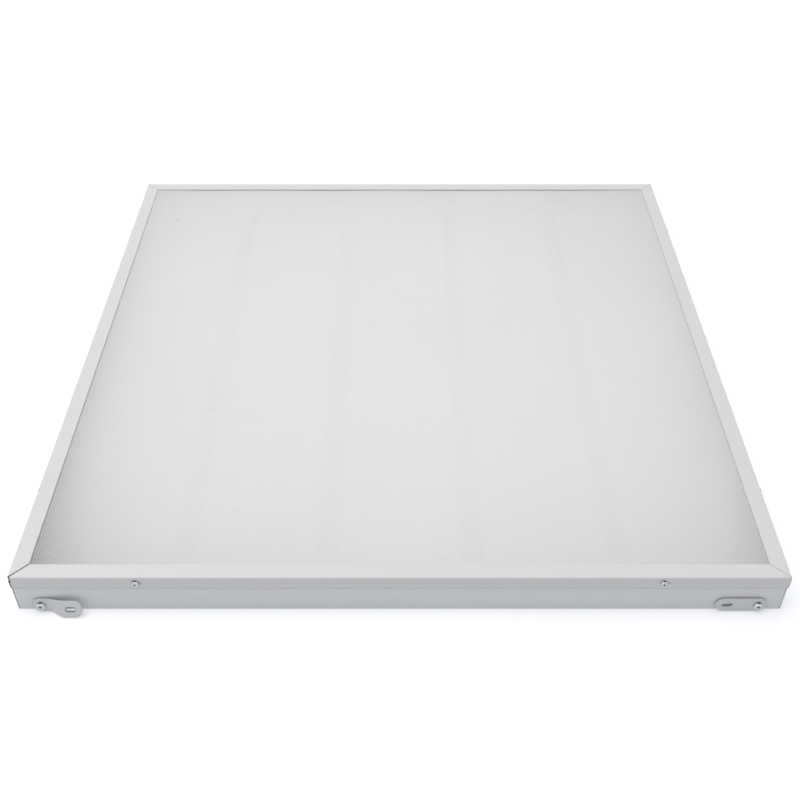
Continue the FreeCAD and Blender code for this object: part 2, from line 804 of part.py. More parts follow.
def driver_circuit():
    """Circuit board and what is soldered to it, by node name."""
    edge = driver_wall + circuit_edge_gap
    z = driver_foot + driver_wall + standoff + circuit_sheet
    board = driver_layer(edge, z - circuit_sheet, z)
    core, winding = transformer(z)
    inset = lead_insert + soldered_gap
    left, right = driver_left + inset, driver_right - inset
    front, back = driver_front + edge + soldered_margin, driver_back - edge - soldered_margin
    front_can_y, back_can_y = front + input_can_radius, back - output_can_radius
    cans = [
        rod_x(front_can_y, z + input_can_radius, left, left + input_can_length, input_can_radius),
        rod_x(back_can_y, z + output_can_radius, right - output_can_length, right, output_can_radius),
    ]
    film = block(right - film_length, right, front, front + film_width, z, z + film_height)
    beside = right - film_length - rectifier_gap
    rectifier = block(
        beside - rectifier_length, beside, front, front + rectifier_width, z, z + rectifier_height
    )
    case_end = left + transistor_length
    case_top = z + transistor_height
    tab_front = back - transistor_tab
    transistor = fused([
        block(left, case_end, back - transistor_width, back, z, case_top),
        block(left, case_end, tab_front, back, case_top - small, z + transistor_tab_height),
    ])
    choke_reach = choke_ring + choke_winding
    choke_place = Vector(case_end + soldered_gap + choke_reach, back - choke_reach, z + choke_winding)
    choke = Part.makeTorus(choke_ring, choke_winding, choke_place)
    return {
        "driver_circuit_board": [board],
        "transformer_core": [core],
        "transformer_winding": [winding],
        "driver_capacitors": cans,
        "driver_film_capacitor": [film],
        "driver_rectifier": [rectifier],
        "driver_choke": [choke],
        "driver_transistor": [transistor],
    }


# ---- Terminal block and earth ----
def terminal_fixings():
    """Places of the two screws that hold the terminal block, between its poles."""
    return [(terminal_x, terminal_y + side * pole_pitch / 2) for side in (-1, 1)]


def centred_block(y, half_length, half):
    """Square bar along one pole of the terminal block."""
    x0, x1 = terminal_x - half_length, terminal_x + half_length
    return block(x0, x1, y - half, y + half, pole_z - half, pole_z + half)


def terminal_parts():
    x0, x1 = terminal_x - terminal_length / 2, terminal_x + terminal_length / 2
    y0, y1 = terminal_y - terminal_width / 2, terminal_y + terminal_width / 2
    top = press_top + terminal_height
    body = block(x0, x1, y0, y1, press_top, top)
    clamp_half = pole_bore + clamp_wall
    clamp_length = terminal_length - 2 * terminal_screw_inset + 3 * terminal_screw
    cutters, clamps, screws = [], [], []
    for y in pole_places:
        cage = centred_block(y, clamp_length / 2, clamp_half)
        cutters.append(centred_block(y, clamp_length / 2 + lead_gap, clamp_half + lead_gap))
        cutters.append(rod_x(y, pole_z, x0 - past, x1 + past, pole_bore + lead_gap))
        cage = cage.cut(rod_x(y, pole_z, x0 - past, x1 + past, pole_bore))
        for x in (x0 + terminal_screw_inset, x1 - terminal_screw_inset):
            cage = cage.cut(rod_z(x, y, pole_z, pole_z + 2 * clamp_half, terminal_screw + thread_gap))
            cutters.append(rod_z(x, y, pole_z, top + past, terminal_screw + shank_gap))
            grub_top = top - grub_depth
            grub = rod_z(x, y, pole_z + hole_radius, grub_top, terminal_screw)
            slot_x, slot_y = terminal_screw + past, driver_slot / 2
            slot_z = grub_top - driver_slot_depth
            slot = block(x - slot_x, x + slot_x, y - slot_y, y + slot_y, slot_z, top)
            screws.append(grub.cut(slot))
        clamps.append(cage)
    for x, y in terminal_fixings():
        cutters.append(rod_z(x, y, press_top - past, top + past, terminal_fixing + shank_gap))
        seat = press_top + terminal_fixing_seat
        cutters.append(rod_z(x, y, seat, top + past, terminal_fixing_head + shank_gap))
    half = pole_groove / 2
    for y in (y0 + pole_pitch, y1 - pole_pitch):
        groove_foot = top - pole_groove_depth
        cutters.append(block(x0 - past, x1 + past, y - half, y + half, groove_foot, top + past))
    screw = pan_screw(
        terminal_fixing, terminal_fixing_length, terminal_fixing_head, terminal_fixing_head_height
    )
    fixings = [moved(screw, x, y, press_top + terminal_fixing_seat) for x, y in terminal_fixings()]
    return {
        "terminal_block": [cut_all(body, cutters)],
        "terminal_clamps": clamps,
        "terminal_screws": screws,
        "terminal_fixing_screws": fixings,
    }


def earth_parts():
    """Stud pressed into the floor, toothed washer, ring lug and nut."""
    x, y = earth_x, earth_y
    stud = rod_z(x, y, 0, sheet + earth_height, earth_thread)
    hole = rod_z(x, y, -past, far, earth_thread + thread_gap)
    washer = rod_z(x, y, sheet, washer_top, earth_washer).cut(hole)
    half = earth_neck / 2
    barrel_start = y + earth_barrel_start
    barrel_end = barrel_start + earth_barrel_length
    lug = fused([
        rod_z(x, y, washer_top, lug_top, earth_lug),
        block(x - half, x + half, y + earth_lug - past, barrel_start + past, washer_top, lug_top),
        rod_y(x, barrel_z, barrel_start, barrel_end, barrel_radius),
    ])
    bore = rod_y(x, barrel_z, barrel_start + earth_barrel_wall, barrel_end + past, hole_radius)
    corner = Vector(earth_nut_across / math.sqrt(3), 0, 0)
    hexagon = [Rotation(Vector(0, 0, 1), 60 * i).multVec(corner) for i in range(7)]
    nut = Part.Face(Part.makePolygon(hexagon)).extrude(Vector(0, 0, earth_nut_height))
    return {
        "earth_stud": [stud],
        "earth_washer": [washer],
        "earth_lug": [lug.cut(hole).cut(bore)],
        "earth_nut": [moved(nut, x, y, lug_top).cut(hole)],
    }


def cable_grommet():
    z0 = press_height - grommet_lip
    z1 = press_top + grommet_lip
    x, y = grommet_x, grommet_y
    body = fused([
        rod_z(x, y, z0, press_height, grommet_flange),
        rod_z(x, y, press_height - small, press_top + small, grommet_neck),
        Part.makeCone(
            grommet_flange, grommet_flange - grommet_chamfer, grommet_lip, Vector(x, y, press_top)
        ),
    ])
    return body.cut(rod_z(x, y, z0 - past, z1 + past, grommet_bore))


# ---- Leads ----
def lead_routes():
    """Every lead inside the light: node name to a list of routes."""
    back = back_mouth - lead_insert
    e = entry_z
    d = driver_entry_z
    f = floor_lead_z
    first, second = wall_lane_y - driver_lane, wall_lane_y - driver_lane + lane_pitch
    out = driver_left + lead_insert
    b1, b2, b3, b4 = board_places
    lead_3 = [
        (out, driver_holes[0], d),
        (driver_left - 6, driver_holes[0], d),
        (b3, driver_holes[0] - 4, d - 1.5),
        (b3, back_mouth + 4, e),
        (b3, back, e),
    ]
    lead_2 = [
        (out, driver_holes[1], d),
        (driver_left - 8, driver_holes[1], d),
        (driver_left - 24, first + 1, f + 3),
        (driver_left - 42, first, f),
        (b2 + 34, first, f),
        (b2 + 16, first + 0.5, f + 1.5),
        (b2 + 3, first - 3, e),
        (b2, first - 12, e),
        (b2, back, e),
    ]
    lead_1 = [
        (out, driver_holes[2], d),
        (driver_left - 8, driver_holes[2], d),
        (driver_left - 24, second + 1, f + 3),
        (driver_left - 42, second, f),
        (b1 + 38, second, f),
        (b1 + 20, second, f + 1),
        (b1 + 6, second - 3, e),
        (b1, second - 16, e),
        (b1, back, e),
    ]
    lead_4 = [
        (driver_right - lead_insert, driver_holes[0], d),
        (driver_right + 6, driver_holes[0], d),
        (b4, driver_holes[0] - 4, d - 1.5),
        (b4, back_mouth + 4, e),
        (b4, back, e),
    ]
    return {
        "output_leads_red": [lead_4, lead_2],
        "output_leads_black": [lead_3, lead_1],
        "front_jumper_leads": [jumper(b1, b2), jumper(b3, b4)],
        "neutral_lead": [mains_route(1, f, 0, driver_holes[1], 12)],
        "live_lead": [mains_route(2, f + 2 * lead_radius + lead_gap, 1, driver_holes[2], 8)],
        "earth_lead": [earth_route()],
    }


def jumper(left, right):
    front = front_mouth + lead_insert
    lane = -wall_lane_y + jumper_lane
    e, f = entry_z, floor_lead_z
    side = 10.0
    return [
        (left, front, e),
        (left, front_mouth - 6, e),
        (left + 3, lane + 7, f + 1),
        (left + side + 6, lane, f),
        (right - side - 6, lane, f),
        (right - 3, lane + 7, f + 1),
        (right, front_mouth - 6, e),
        (right, front, e),
    ]


def mains_route(pole, lane_z, high, hole_y, loop):
    """From a pole of the terminal block along the back wall, behind the driver and into its right end."""
    x0 = terminal_x + terminal_length / 2
    y = wall_lane_y
    d = driver_entry_z
    entry = pole_places[pole]
    return [
        (x0 - lead_insert, entry, pole_z),
        (x0 + 8, entry, pole_z),
        (x0 + 26, y - 0.5, lane_z + 1),
        (x0 + 50, y, lane_z),
        (driver_right - 12, y, lane_z),
        (driver_right + loop, y - 1, lane_z + 3),
        (driver_right + loop + 3, hole_y + 5, d - 2),
        (driver_right + loop - 4, hole_y, d),
        (driver_right - lead_insert, hole_y, d),
    ]


def earth_route():
    x0 = terminal_x + terminal_length / 2
    barrel = earth_y + earth_barrel_start
    return [
        (x0 - lead_insert, pole_places[0], pole_z),
        (x0 + 6, pole_places[0], pole_z),
        (earth_x + 3, pole_places[0] - 6, pole_z - 2),
        (earth_x, barrel + 9.5, barrel_z),
        (earth_x, barrel + 2 * earth_barrel_wall, barrel_z),
    ]


def lead_clips():
    """Low nylon saddles that hold the leads to the floor and in the corner of the back wall."""
    hole = hole_radius
    low, high = floor_lead_z, floor_lead_z + 2 * lead_radius + lead_gap
    first = wall_lane_y - driver_lane
    back = inner_half - lead_gap
    clips = []
    for x in clip_places:
        x0, x1 = x - clip_length / 2, x + clip_length / 2
        body = block(x0, x1, first - hole - clip_wall, back, sheet, low + hole + clip_wall)
        arch = block(x0, x1, wall_lane_y - hole - clip_wall, back, sheet, high + hole + clip_wall)
        lanes = [(first, low), (first + lane_pitch, low), (wall_lane_y, high)]
        ends = (x0 - past, x1 + past)
        cutters = [rod_x(y, z, *ends, hole) for y, z in lanes]
        cutters += [block(*ends, y - hole, y + hole, sheet - past, z) for y, z in lanes]
        cutters.append(block(*ends, wall_lane_y, back + past, sheet - past, high))
        clips.append(cut_all(fused([body, arch]), cutters))
    return clips


# ---- Every node ----
def nodes():
    made = {"housing_tray": [housing_tray()], "diffuser": [diffuser()]}
    for name, shape in {**trim_rails(), **swivel_brackets()}.items():
        made[name] = [shape]
    made["trim_screws"] = trim_screws()
    made["pivot_screws"], made["pivot_rivet_nuts"] = pivot_hardware()
    for number, x in enumerate(board_places, 1):
        made[f"led_board_{number}"] = [led_board(x)]
        made[f"led_chips_{number}"] = led_chips(x)
    made["board_screws"] = board_screws()
    made["back_connectors"] = connectors(back_mouth, 1)
    made["front_connectors"] = connectors(front_mouth, -1)
    made["driver_case"] = [driver_case()]
    made["driver_cover"] = [driver_cover()]
    made["driver_screws"] = driver_screws()
    made.update(driver_circuit())
    made.update(terminal_parts())
    made.update(earth_parts())
    made["cable_grommet"] = [cable_grommet()]
    made["lead_clips"] = lead_clips()
    for name, routes in lead_routes().items():
        made[name] = [lead(route) for route in routes]
    return made


def write_parts():
    os.makedirs("parts", exist_ok=True)
    made = nodes()
    for name, pieces in made.items():
        pieces = [s for piece in pieces for s in piece.Solids]
        bad = [s for s in pieces if not s.isValid() or s.Volume <= 0]
        if bad or not pieces:
            print("check", name, len(pieces), "solids,", len(bad), "bad")
        shape = pieces[0] if len(pieces) == 1 else Part.makeCompound(pieces)
        shape.exportStep(f"parts/{name}.step")
    print(len(made), "nodes")


write_parts()
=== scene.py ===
import math

import bpy
from mathutils import Euler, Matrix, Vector


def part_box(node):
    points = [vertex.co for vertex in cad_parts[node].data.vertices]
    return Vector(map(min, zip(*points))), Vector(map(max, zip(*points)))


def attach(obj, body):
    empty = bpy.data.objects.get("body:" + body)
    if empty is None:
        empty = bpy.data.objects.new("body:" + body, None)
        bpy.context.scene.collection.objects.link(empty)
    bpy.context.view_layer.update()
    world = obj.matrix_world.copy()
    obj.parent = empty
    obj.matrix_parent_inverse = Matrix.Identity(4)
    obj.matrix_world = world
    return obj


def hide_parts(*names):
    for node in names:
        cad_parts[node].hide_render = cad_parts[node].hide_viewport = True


bl_info = {
    "name": "Square LED ceiling light",
    "version": (1, 0, 0),
    "blender": (4, 5, 0),
    "location": "3D View > Sidebar > Ceiling light",
    "description": "Dresses the packed model of a square LED ceiling light and sets up its studio",
    "category": "Object",
}

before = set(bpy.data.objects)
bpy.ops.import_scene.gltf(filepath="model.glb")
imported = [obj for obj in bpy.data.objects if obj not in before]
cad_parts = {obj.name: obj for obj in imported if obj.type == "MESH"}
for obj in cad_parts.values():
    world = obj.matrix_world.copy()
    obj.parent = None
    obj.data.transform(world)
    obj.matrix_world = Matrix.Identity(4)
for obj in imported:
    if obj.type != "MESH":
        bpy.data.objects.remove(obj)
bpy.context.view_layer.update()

MM = 0.001
LIGHT = "light"
BRACKETS = ("bracket_front_left", "bracket_front_right", "bracket_back_left", "bracket_back_right")
TRIM = ("trim_front", "trim_right", "trim_back", "trim_left")
BOARD_NUMBERS = (1, 2, 3, 4)


# ---------------------------------------------------------------- settings


def length(name, description, default):
    return bpy.props.FloatProperty(
        name=name, description=description, default=default, min=0.0, subtype="DISTANCE", unit="LENGTH"
    )


def share(name, description, default, top=1.0):
    return bpy.props.FloatProperty(
        name=name, description=description, default=default, min=0.0, max=top, subtype="FACTOR"
    )


def colour(name, description, default):
    return bpy.props.FloatVectorProperty(
        name=name, description=description, default=default, min=0.0, max=1.0, size=3, subtype="COLOR"
    )


class PaintSettings(bpy.types.PropertyGroup):
    tray: colour("Tray", "Powder coat of the folded tray", (0.806, 0.812, 0.826))
    trim: colour("Trim", "Powder coat of the trim rails", (0.738, 0.740, 0.741))
    brackets: colour("Brackets", "Powder coat of the swivel brackets", (0.735, 0.742, 0.755))
    grain_size: length("Grain", "Size of the powder coat's grain", 0.5 * MM)
    # The paler line is in part a thin coat and in part a painted highlight along the edges.
    pale_edge_width: length("Pale edge", "Width of the paler line along bends and cut edges", 0.35 * MM)


class SheetSettings(bpy.types.PropertyGroup):
    tint: colour("Tint", "Colour of the sheet in its middle", (0.889, 0.876, 0.862))
    # The edge tint and the wall shade colour and darken the sheet as painted shade over the tray's walls.
    edge_tint: colour(
        "Edge tint", "Colour that it goes towards where a wall stands below", (0.875, 0.885, 0.90)
    )
    opacity: share("Opacity", "How much of what lies below is covered", 0.94)
    wall_shade: share("Wall shade", "How much darker the sheet is over the tray's side walls", 0.34)
    bead_contrast: share(
        "Prism contrast", "Difference between a prism's middle and the groove beside it", 0.10
    )
    pitch: length("Prism pitch", "Distance from one moulded prism to the next", 2.0 * MM)
    ridge: length("Prism height", "Height of the moulded rows", 0.11 * MM)
    sag: length("Sag", "How far the middle hangs below the edges", 1.5 * MM)
    lift: length("Lift", "How far its edges stand off the tray's lip", 1.15 * MM)
    dip: length("Dip", "How far the bowed back edge comes down between its high places", 0.5 * MM)


class StageSettings(bpy.types.PropertyGroup):
    floor: colour("Floor", "Colour of the floor as it lights the object", (0.80, 0.815, 0.845))
    floor_glow: share("Floor white", "Added to the floor where the camera sees it", 0.36)
    sky: share("Sky", "Soft light from all sides", 0.42, top=4.0)
    key_power: bpy.props.FloatProperty(
        name="Key power", description="Power of the overhead softbox", default=41.5, min=0.0, unit="POWER"
    )
    key_size: length("Key size", "Side of the overhead softbox", 2.4)


class LightSettings(bpy.types.PropertyGroup):
    paint: bpy.props.PointerProperty(type=PaintSettings, name="Paint", description="Powder coat")
    sheet: bpy.props.PointerProperty(type=SheetSettings, name="Sheet", description="Prismatic sheet")
    stage: bpy.props.PointerProperty(type=StageSettings, name="Stage", description="Floor and lamps")


def settings():
    return bpy.context.scene.ceiling_light


# ---------------------------------------------------------------- node helpers


def add(tree, kind, inputs=None, **attributes):
    """A new node. inputs maps a socket's name or index to a value or to another node's output."""
    made = tree.nodes.new(kind)
    for key, value in attributes.items():
        setattr(made, key, value)
    for key, value in (inputs or {}).items():
        feed(tree, made.inputs[key], value)
    return made


def feed(tree, socket, value):
    if isinstance(value, bpy.types.NodeSocket):
        tree.links.new(value, socket)
    elif hasattr(value, "__len__") and len(value) == 3 and socket.type == "RGBA":
        socket.default_value = (*value, 1.0)
    else:
        socket.default_value = value


def maths(tree, operation, *values):
    return add(tree, "ShaderNodeMath", dict(enumerate(values)), operation=operation).outputs[0]


def remap(tree, value, low, high, to_low=0.0, to_high=1.0, smooth=False):
    """The value taken from low..high to to_low..to_high, and held at the ends."""
    kind = "SMOOTHSTEP" if smooth else "LINEAR"
    values = {0: value, 1: low, 2: high, 3: to_low, 4: to_high}
    return add(tree, "ShaderNodeMapRange", values, interpolation_type=kind).outputs[0]


def mix_colour(tree, factor, first, second, blend="MIX"):
    made = tree.nodes.new("ShaderNodeMix")
    made.data_type = "RGBA"
    made.blend_type = blend
    feed(tree, made.inputs[0], factor)
    feed(tree, made.inputs[6], first)
    feed(tree, made.inputs[7], second)
    return made.outputs[2]


def noise(tree, place, scale, detail, roughness=0.5):
    values = {"Vector": place, "Scale": scale, "Detail": detail, "Roughness": roughness}
    return add(tree, "ShaderNodeTexNoise", values).outputs[0]


def here(tree):
    """The point on the piece, in metres, in the piece's own space."""
    return tree.nodes.new("ShaderNodeTexCoord").outputs["Object"]


def window(tree, value, middle, half, blur):
    """1 where value is within half of middle, 0 outside, with a soft edge of this width."""
    away = maths(tree, "ABSOLUTE", maths(tree, "SUBTRACT", value, middle))
    return remap(tree, away, half + blur / 2, half - blur / 2, smooth=True)


def fade(tree, distance, reach, amount=1.0):
    """amount at no distance, falling off over reach."""
    return maths(tree, "MULTIPLY", maths(tree, "EXPONENT", maths(tree, "DIVIDE", distance, -reach)), amount)


def patch(tree, x, y, middle, half, blur):
    """1 on a rectangle with soft edges. middle, half and blur each hold one value for x and one for y."""
    return product(tree, *(window(tree, *values) for values in zip((x, y), middle, half, blur)))


def shaded(tree, tone, *shades):
    """The tone with each shade, from 0 to 1, taken off it."""
    for shade in shades:
        tone = maths(tree, "MULTIPLY", tone, maths(tree, "SUBTRACT", 1.0, shade))
    return tone


def apart(tree, vector):
    """The X, Y and Z of a vector."""
    outputs = add(tree, "ShaderNodeSeparateXYZ", {0: vector}).outputs
    return outputs["X"], outputs["Y"], outputs["Z"]


def face_normal(tree):
    return tree.nodes.new("ShaderNodeNewGeometry").outputs["Normal"]


def reach_from(tree, dx, dy):
    """Distance of the point from where dx and dy are both 0."""
    return maths(tree, "SQRT", maths(tree, "MULTIPLY_ADD", dx, dx, maths(tree, "MULTIPLY", dy, dy)))


def product(tree, *values):
    total = values[0]
    for value in values[1:]:
        total = maths(tree, "MULTIPLY", total, value)
    return total


def group(name, inputs, outputs, build):
    """A shader node group. inputs maps names to a socket type and default, outputs maps names to types."""
    tree = bpy.data.node_groups.new(name, "ShaderNodeTree")
    for socket_name, (kind, default) in inputs.items():
        socket = tree.interface.new_socket(socket_name, in_out="INPUT", socket_type=kind)
        socket.default_value = default
    for socket_name, kind in outputs.items():
        tree.interface.new_socket(socket_name, in_out="OUTPUT", socket_type=kind)
    source = tree.nodes.new("NodeGroupInput").outputs
    sink = tree.nodes.new("NodeGroupOutput").inputs
    for socket_name, value in build(tree, source).items():
        feed(tree, sink[socket_name], value)
    return tree


def grain_group():
    """Moulding or powder-coat grain with a slow waviness under it."""

    def build(tree, source):
        place = here(tree)
        fine = noise(tree, place, maths(tree, "DIVIDE", 1.0, source["Size"]), detail=1.0)
        slow = noise(tree, place, maths(tree, "DIVIDE", 0.06, source["Size"]), detail=2.0)
        cloud = noise(tree, place, scale=14.0, detail=3.0)
        height = maths(tree, "MULTIPLY_ADD", slow, 2.0, fine)
        swing = maths(tree, "MULTIPLY", maths(tree, "SUBTRACT", cloud, 0.5), source["Clouds"])
        return {"Height": height, "Shade": maths(tree, "ADD", swing, 1.0), "Fine": fine}

    inputs = {"Size": ("NodeSocketFloat", 0.5 * MM), "Clouds": ("NodeSocketFloat", 0.05)}
    outputs = {name: "NodeSocketFloat" for name in ("Height", "Shade", "Fine")}
    return group("Surface grain", inputs, outputs, build)


def edge_group():
    """Mask of a narrow line along bends and cut edges, broken up a little."""

    def build(tree, source):
        soft = add(tree, "ShaderNodeBevel", {"Radius": source["Width"]}, samples=4).outputs[0]
        both = {0: soft, 1: face_normal(tree)}
        turned = add(tree, "ShaderNodeVectorMath", both, operation="DOT_PRODUCT").outputs["Value"]
        line = remap(tree, turned, 0.995, 0.86, smooth=True)  # cosines of 6 and 31 degrees
        broken = remap(tree, noise(tree, here(tree), scale=90.0, detail=3.0), 0.3, 0.6, 0.45, 1.0)
        return {"Mask": maths(tree, "MULTIPLY", line, broken), "Normal": soft}

    inputs = {"Width": ("NodeSocketFloat", 0.35 * MM)}
    return group("Edge line", inputs, {"Mask": "NodeSocketFloat", "Normal": "NodeSocketVector"}, build)


def crevice_group():
    """Mask of narrow joints, where dirt gathers and little light reaches."""

    def build(tree, source):
        open_share = add(tree, "ShaderNodeAmbientOcclusion", {"Distance": source["Reach"]}, samples=6)
        return {"Mask": remap(tree, open_share.outputs["AO"], 0.75, 0.2)}

    inputs = {"Reach": ("NodeSocketFloat", 2.0 * MM)}
    return group("Crevice", inputs, {"Mask": "NodeSocketFloat"}, build)


def dust_group():
    """Mask of thin dust that lies on faces that look up."""

    def build(tree, source):
        up = apart(tree, face_normal(tree))[2]
        level = remap(tree, up, 0.5, 0.95, smooth=True)
        place = here(tree)
        patches = remap(tree, noise(tree, place, scale=22.0, detail=5.0, roughness=0.6), 0.42, 0.75)
        specks = remap(tree, noise(tree, place, scale=900.0, detail=1.0), 0.60, 0.72)
        cover = maths(tree, "MULTIPLY_ADD", specks, 0.35, patches)
        return {"Mask": product(tree, cover, level, source["Amount"])}

    return group("Dust", {"Amount": ("NodeSocketFloat", 0.1)}, {"Mask": "NodeSocketFloat"}, build)


GROUPS = {}


def effect(tree, name, **values):
    """Places one of the shared effects in a material, with its own values."""
    builders = {"grain": grain_group, "edge": edge_group, "crevice": crevice_group, "dust": dust_group}
    if name not in GROUPS:
        GROUPS[name] = builders[name]()
    made = add(tree, "ShaderNodeGroup", node_tree=GROUPS[name])
    for socket_name, value in values.items():
        made.inputs[socket_name].default_value = value
    return made.outputs


# ---------------------------------------------------------------- materials


def new_material(name):
    material = bpy.data.materials.new(name)
    material.use_nodes = True
    tree = material.node_tree
    tree.nodes.clear()
    shader = tree.nodes.new("ShaderNodeBsdfPrincipled")
    output = tree.nodes.new("ShaderNodeOutputMaterial")
    tree.links.new(shader.outputs[0], output.inputs["Surface"])
    return material, tree, shader


def bumped(tree, height, distance, strength, normal=None):
    values = {"Height": height, "Distance": distance, "Strength": strength}
    if normal is not None:
        values["Normal"] = normal
    return add(tree, "ShaderNodeBump", values).outputs[0]


CREVICE_REACH = 1.2 * MM
WEAR_AND_HIGHLIGHT_TONE = (0.89, 0.89, 0.895)  # paler where the coat is thin at bends and cut edges, and a painted highlight along them
# Painted shade in narrow joints, grey, with the dirt there.
JOINT_SHADE_TONE = (0.22, 0.225, 0.23)
DUST_TONE = (0.68, 0.675, 0.66)


def powder_coat(name, tint, paint, shades, pale_edge_spread=1.0, pale_edge_share=0.45, joints=0.2, dust=0.06):
    """Satin powder coat: fine orange peel, a paler line along bends that is a thin coat and a painted
    highlight, painted grey shade in joints with their dirt, and a little dust.
    shades builds the piece's own painted shades from the point's x, y and z. The two arguments after it widen
    the pale lines and whiten them."""
    material, tree, shader = new_material(name)
    grain = effect(tree, "grain", Size=paint.grain_size, Clouds=0.03)
    edge = effect(tree, "edge", Width=pale_edge_spread * paint.pale_edge_width)
    crevice = effect(tree, "crevice", Reach=CREVICE_REACH)
    base = mix_colour(tree, 1.0, tint, grain["Shade"], "MULTIPLY")
    # Paler line along edges: a thin coat, and a painted highlight.
    pale = mix_colour(tree, maths(tree, "MULTIPLY", edge["Mask"], pale_edge_share), base, WEAR_AND_HIGHLIGHT_TONE)
    # Painted shade in joints, from how little light reaches them, with their dirt.
    grey = mix_colour(tree, maths(tree, "MULTIPLY", crevice["Mask"], joints), pale, JOINT_SHADE_TONE)
    dusty = mix_colour(tree, effect(tree, "dust", Amount=dust)["Mask"], grey, DUST_TONE)
    tone = shaded(tree, 1.0, *shades(tree, *apart(tree, here(tree))))
    feed(tree, shader.inputs["Base Color"], mix_colour(tree, 1.0, dusty, tone, "MULTIPLY"))
    feed(tree, shader.inputs["Roughness"], remap(tree, grain["Fine"], 0.3, 0.7, 0.36, 0.46))
    shader.inputs["Specular IOR Level"].default_value = 0.42
    feed(tree, shader.inputs["Normal"], bumped(tree, grain["Height"], 0.02 * MM, 0.6, edge["Normal"]))
    return material


def near_corners(tree, x, y, half, reach, blur):
    """1 near the four upright corners, which are this far from the middle along x and y."""
    aside, along = maths(tree, "ABSOLUTE", x), maths(tree, "ABSOLUTE", y)
    return patch(tree, aside, along, (half, half), (reach, reach), (blur, blur))


def front_left(tree, x, y, there, elsewhere):
    """One value near the front left corner, where x + y is about -0.6, and another near the other three."""
    return remap(tree, maths(tree, "ADD", x, y), -0.3, -0.2, there, elsewhere)


# How dark each of the tray's painted shades is at most.
FLANGE_SHADE_LINE, FLANGE_SHADE_HAZE = 0.16, 0.03
FRONT_LEFT_SEAM_SHADE, OTHER_SEAM_SHADES = 0.88, 0.45
INSIDE_CORNER_SHADE = 0.93


def tray_shades(tree, x, y, z):
    """Painted shade below the trim's flange, in the tray's open corner seams, and inside the trim's corners.
    """
    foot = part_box("trim_front")[0][2]
    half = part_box("housing_tray")[1][0]
    # Seen from above, the flange hides the wall's first millimetre, so the painted line of shade lies below
    # that.
    line = window(tree, z, foot - 1.35 * MM, 0.5 * MM, 0.4 * MM)
    soft = remap(tree, z, foot - 4 * MM, foot, smooth=True)
    outside = remap(tree, z, foot + 0.1 * MM, foot)
    seam = near_corners(tree, x, y, half, 0.9 * MM, 0.8 * MM)
    corner = near_corners(tree, x, y, half, 3.5 * MM, 1.0 * MM)
    return [
        product(tree, line, outside, FLANGE_SHADE_LINE),
        product(tree, soft, outside, FLANGE_SHADE_HAZE),
        product(tree, seam, front_left(tree, x, y, FRONT_LEFT_SEAM_SHADE, OTHER_SEAM_SHADES)),
        product(tree, corner, remap(tree, z, foot, foot + 2 * MM), INSIDE_CORNER_SHADE),
    ]


MITRE_REACH, RELIEF_REACH = 1.9 * MM, 2.6 * MM  # from the corner, below and in the bend relief
MITRE_SHADE = 0.85


def trim_shades(tree, x, y, z):
    """Painted shade on the edges of the front left mitre where the flanges meet, widest in its bend relief.
    """
    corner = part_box("trim_left")[0][0]  # the same along x and y
    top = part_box("trim_front")[1][2]
    across, along = maths(tree, "SUBTRACT", x, corner), maths(tree, "SUBTRACT", y, corner)
    reach = remap(tree, z, top - 6.5 * MM, top - 4.5 * MM, MITRE_REACH, RELIEF_REACH)
    beyond = maths(tree, "DIVIDE", maths(tree, "MAXIMUM", across, along), reach)
    below = remap(tree, z, top - 0.3 * MM, top - 0.8 * MM)
    return [product(tree, remap(tree, beyond, 1.0, 0.6), below, MITRE_SHADE)]


SLOT_FROM_END = 9.0 * MM  # middle of a bracket's slot from its free end
SLOT_STRAIGHT = 2.1 * MM  # half of the slot's straight length
SLOT_REACH = 2.3 * MM  # the slot's radius and 0.1 mm
# How dark the painted shade on the slots' walls is: on the bent bracket, and on the others.
BENT_SLOT, OTHER_SLOTS = 0.75, 0.05


def bracket_shades(tree, x, y, z):
    """Painted shade on the walls of the brackets' slots, darkest along the foot of the bent bracket's."""
    low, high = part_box("bracket_front_right")
    middle_x, middle_z = low[0] + SLOT_FROM_END, (low[2] + high[2]) / 2
    aside = maths(tree, "ABSOLUTE", maths(tree, "SUBTRACT", maths(tree, "ABSOLUTE", x), middle_x))
    beyond = maths(tree, "MAXIMUM", maths(tree, "SUBTRACT", aside, SLOT_STRAIGHT), 0.0)
    up = maths(tree, "SUBTRACT", z, middle_z)
    wall = remap(tree, reach_from(tree, beyond, up), SLOT_REACH, SLOT_REACH - 0.05 * MM)
    foot = remap(tree, up, -0.5 * MM, -1.5 * MM, 0.35, 1.0)
    return [product(tree, wall, foot, front_left(tree, x, y, BENT_SLOT, OTHER_SLOTS))]


# Painted shade in recesses, and a painted dark reflection on heads.
SHADE_AND_REFLECTION_TONE = (0.035, 0.036, 0.04)


def zinc(name, tint=(0.74, 0.75, 0.77), dark_reflection=0.0):
    """Zinc plate: streaked by the barrel, with painted shade in the recess and under the head, and a painted
    dark reflection on faces that look up.
    """
    material, tree, shader = new_material(name)
    streaks = noise(tree, here(tree), scale=1400.0, detail=3.0)
    crevice = effect(tree, "crevice", Reach=CREVICE_REACH)
    tone = mix_colour(tree, remap(tree, streaks, 0.35, 0.65), tint, [0.82 * c for c in tint])
    up = apart(tree, face_normal(tree))[2]
    # Painted dark reflection on the faces that look up.
    reflected_dark = product(tree, remap(tree, up, 0.82, 0.94, smooth=True), dark_reflection)
    dark = maths(tree, "MAXIMUM", maths(tree, "MULTIPLY", crevice["Mask"], 0.9), reflected_dark)
    feed(tree, shader.inputs["Base Color"], mix_colour(tree, dark, tone, SHADE_AND_REFLECTION_TONE))
    shader.inputs["Metallic"].default_value = 1.0
    feed(tree, shader.inputs["Roughness"], remap(tree, streaks, 0.3, 0.7, 0.22, 0.38))
    feed(tree, shader.inputs["Normal"], bumped(tree, streaks, 0.01 * MM, 0.5))
    return material


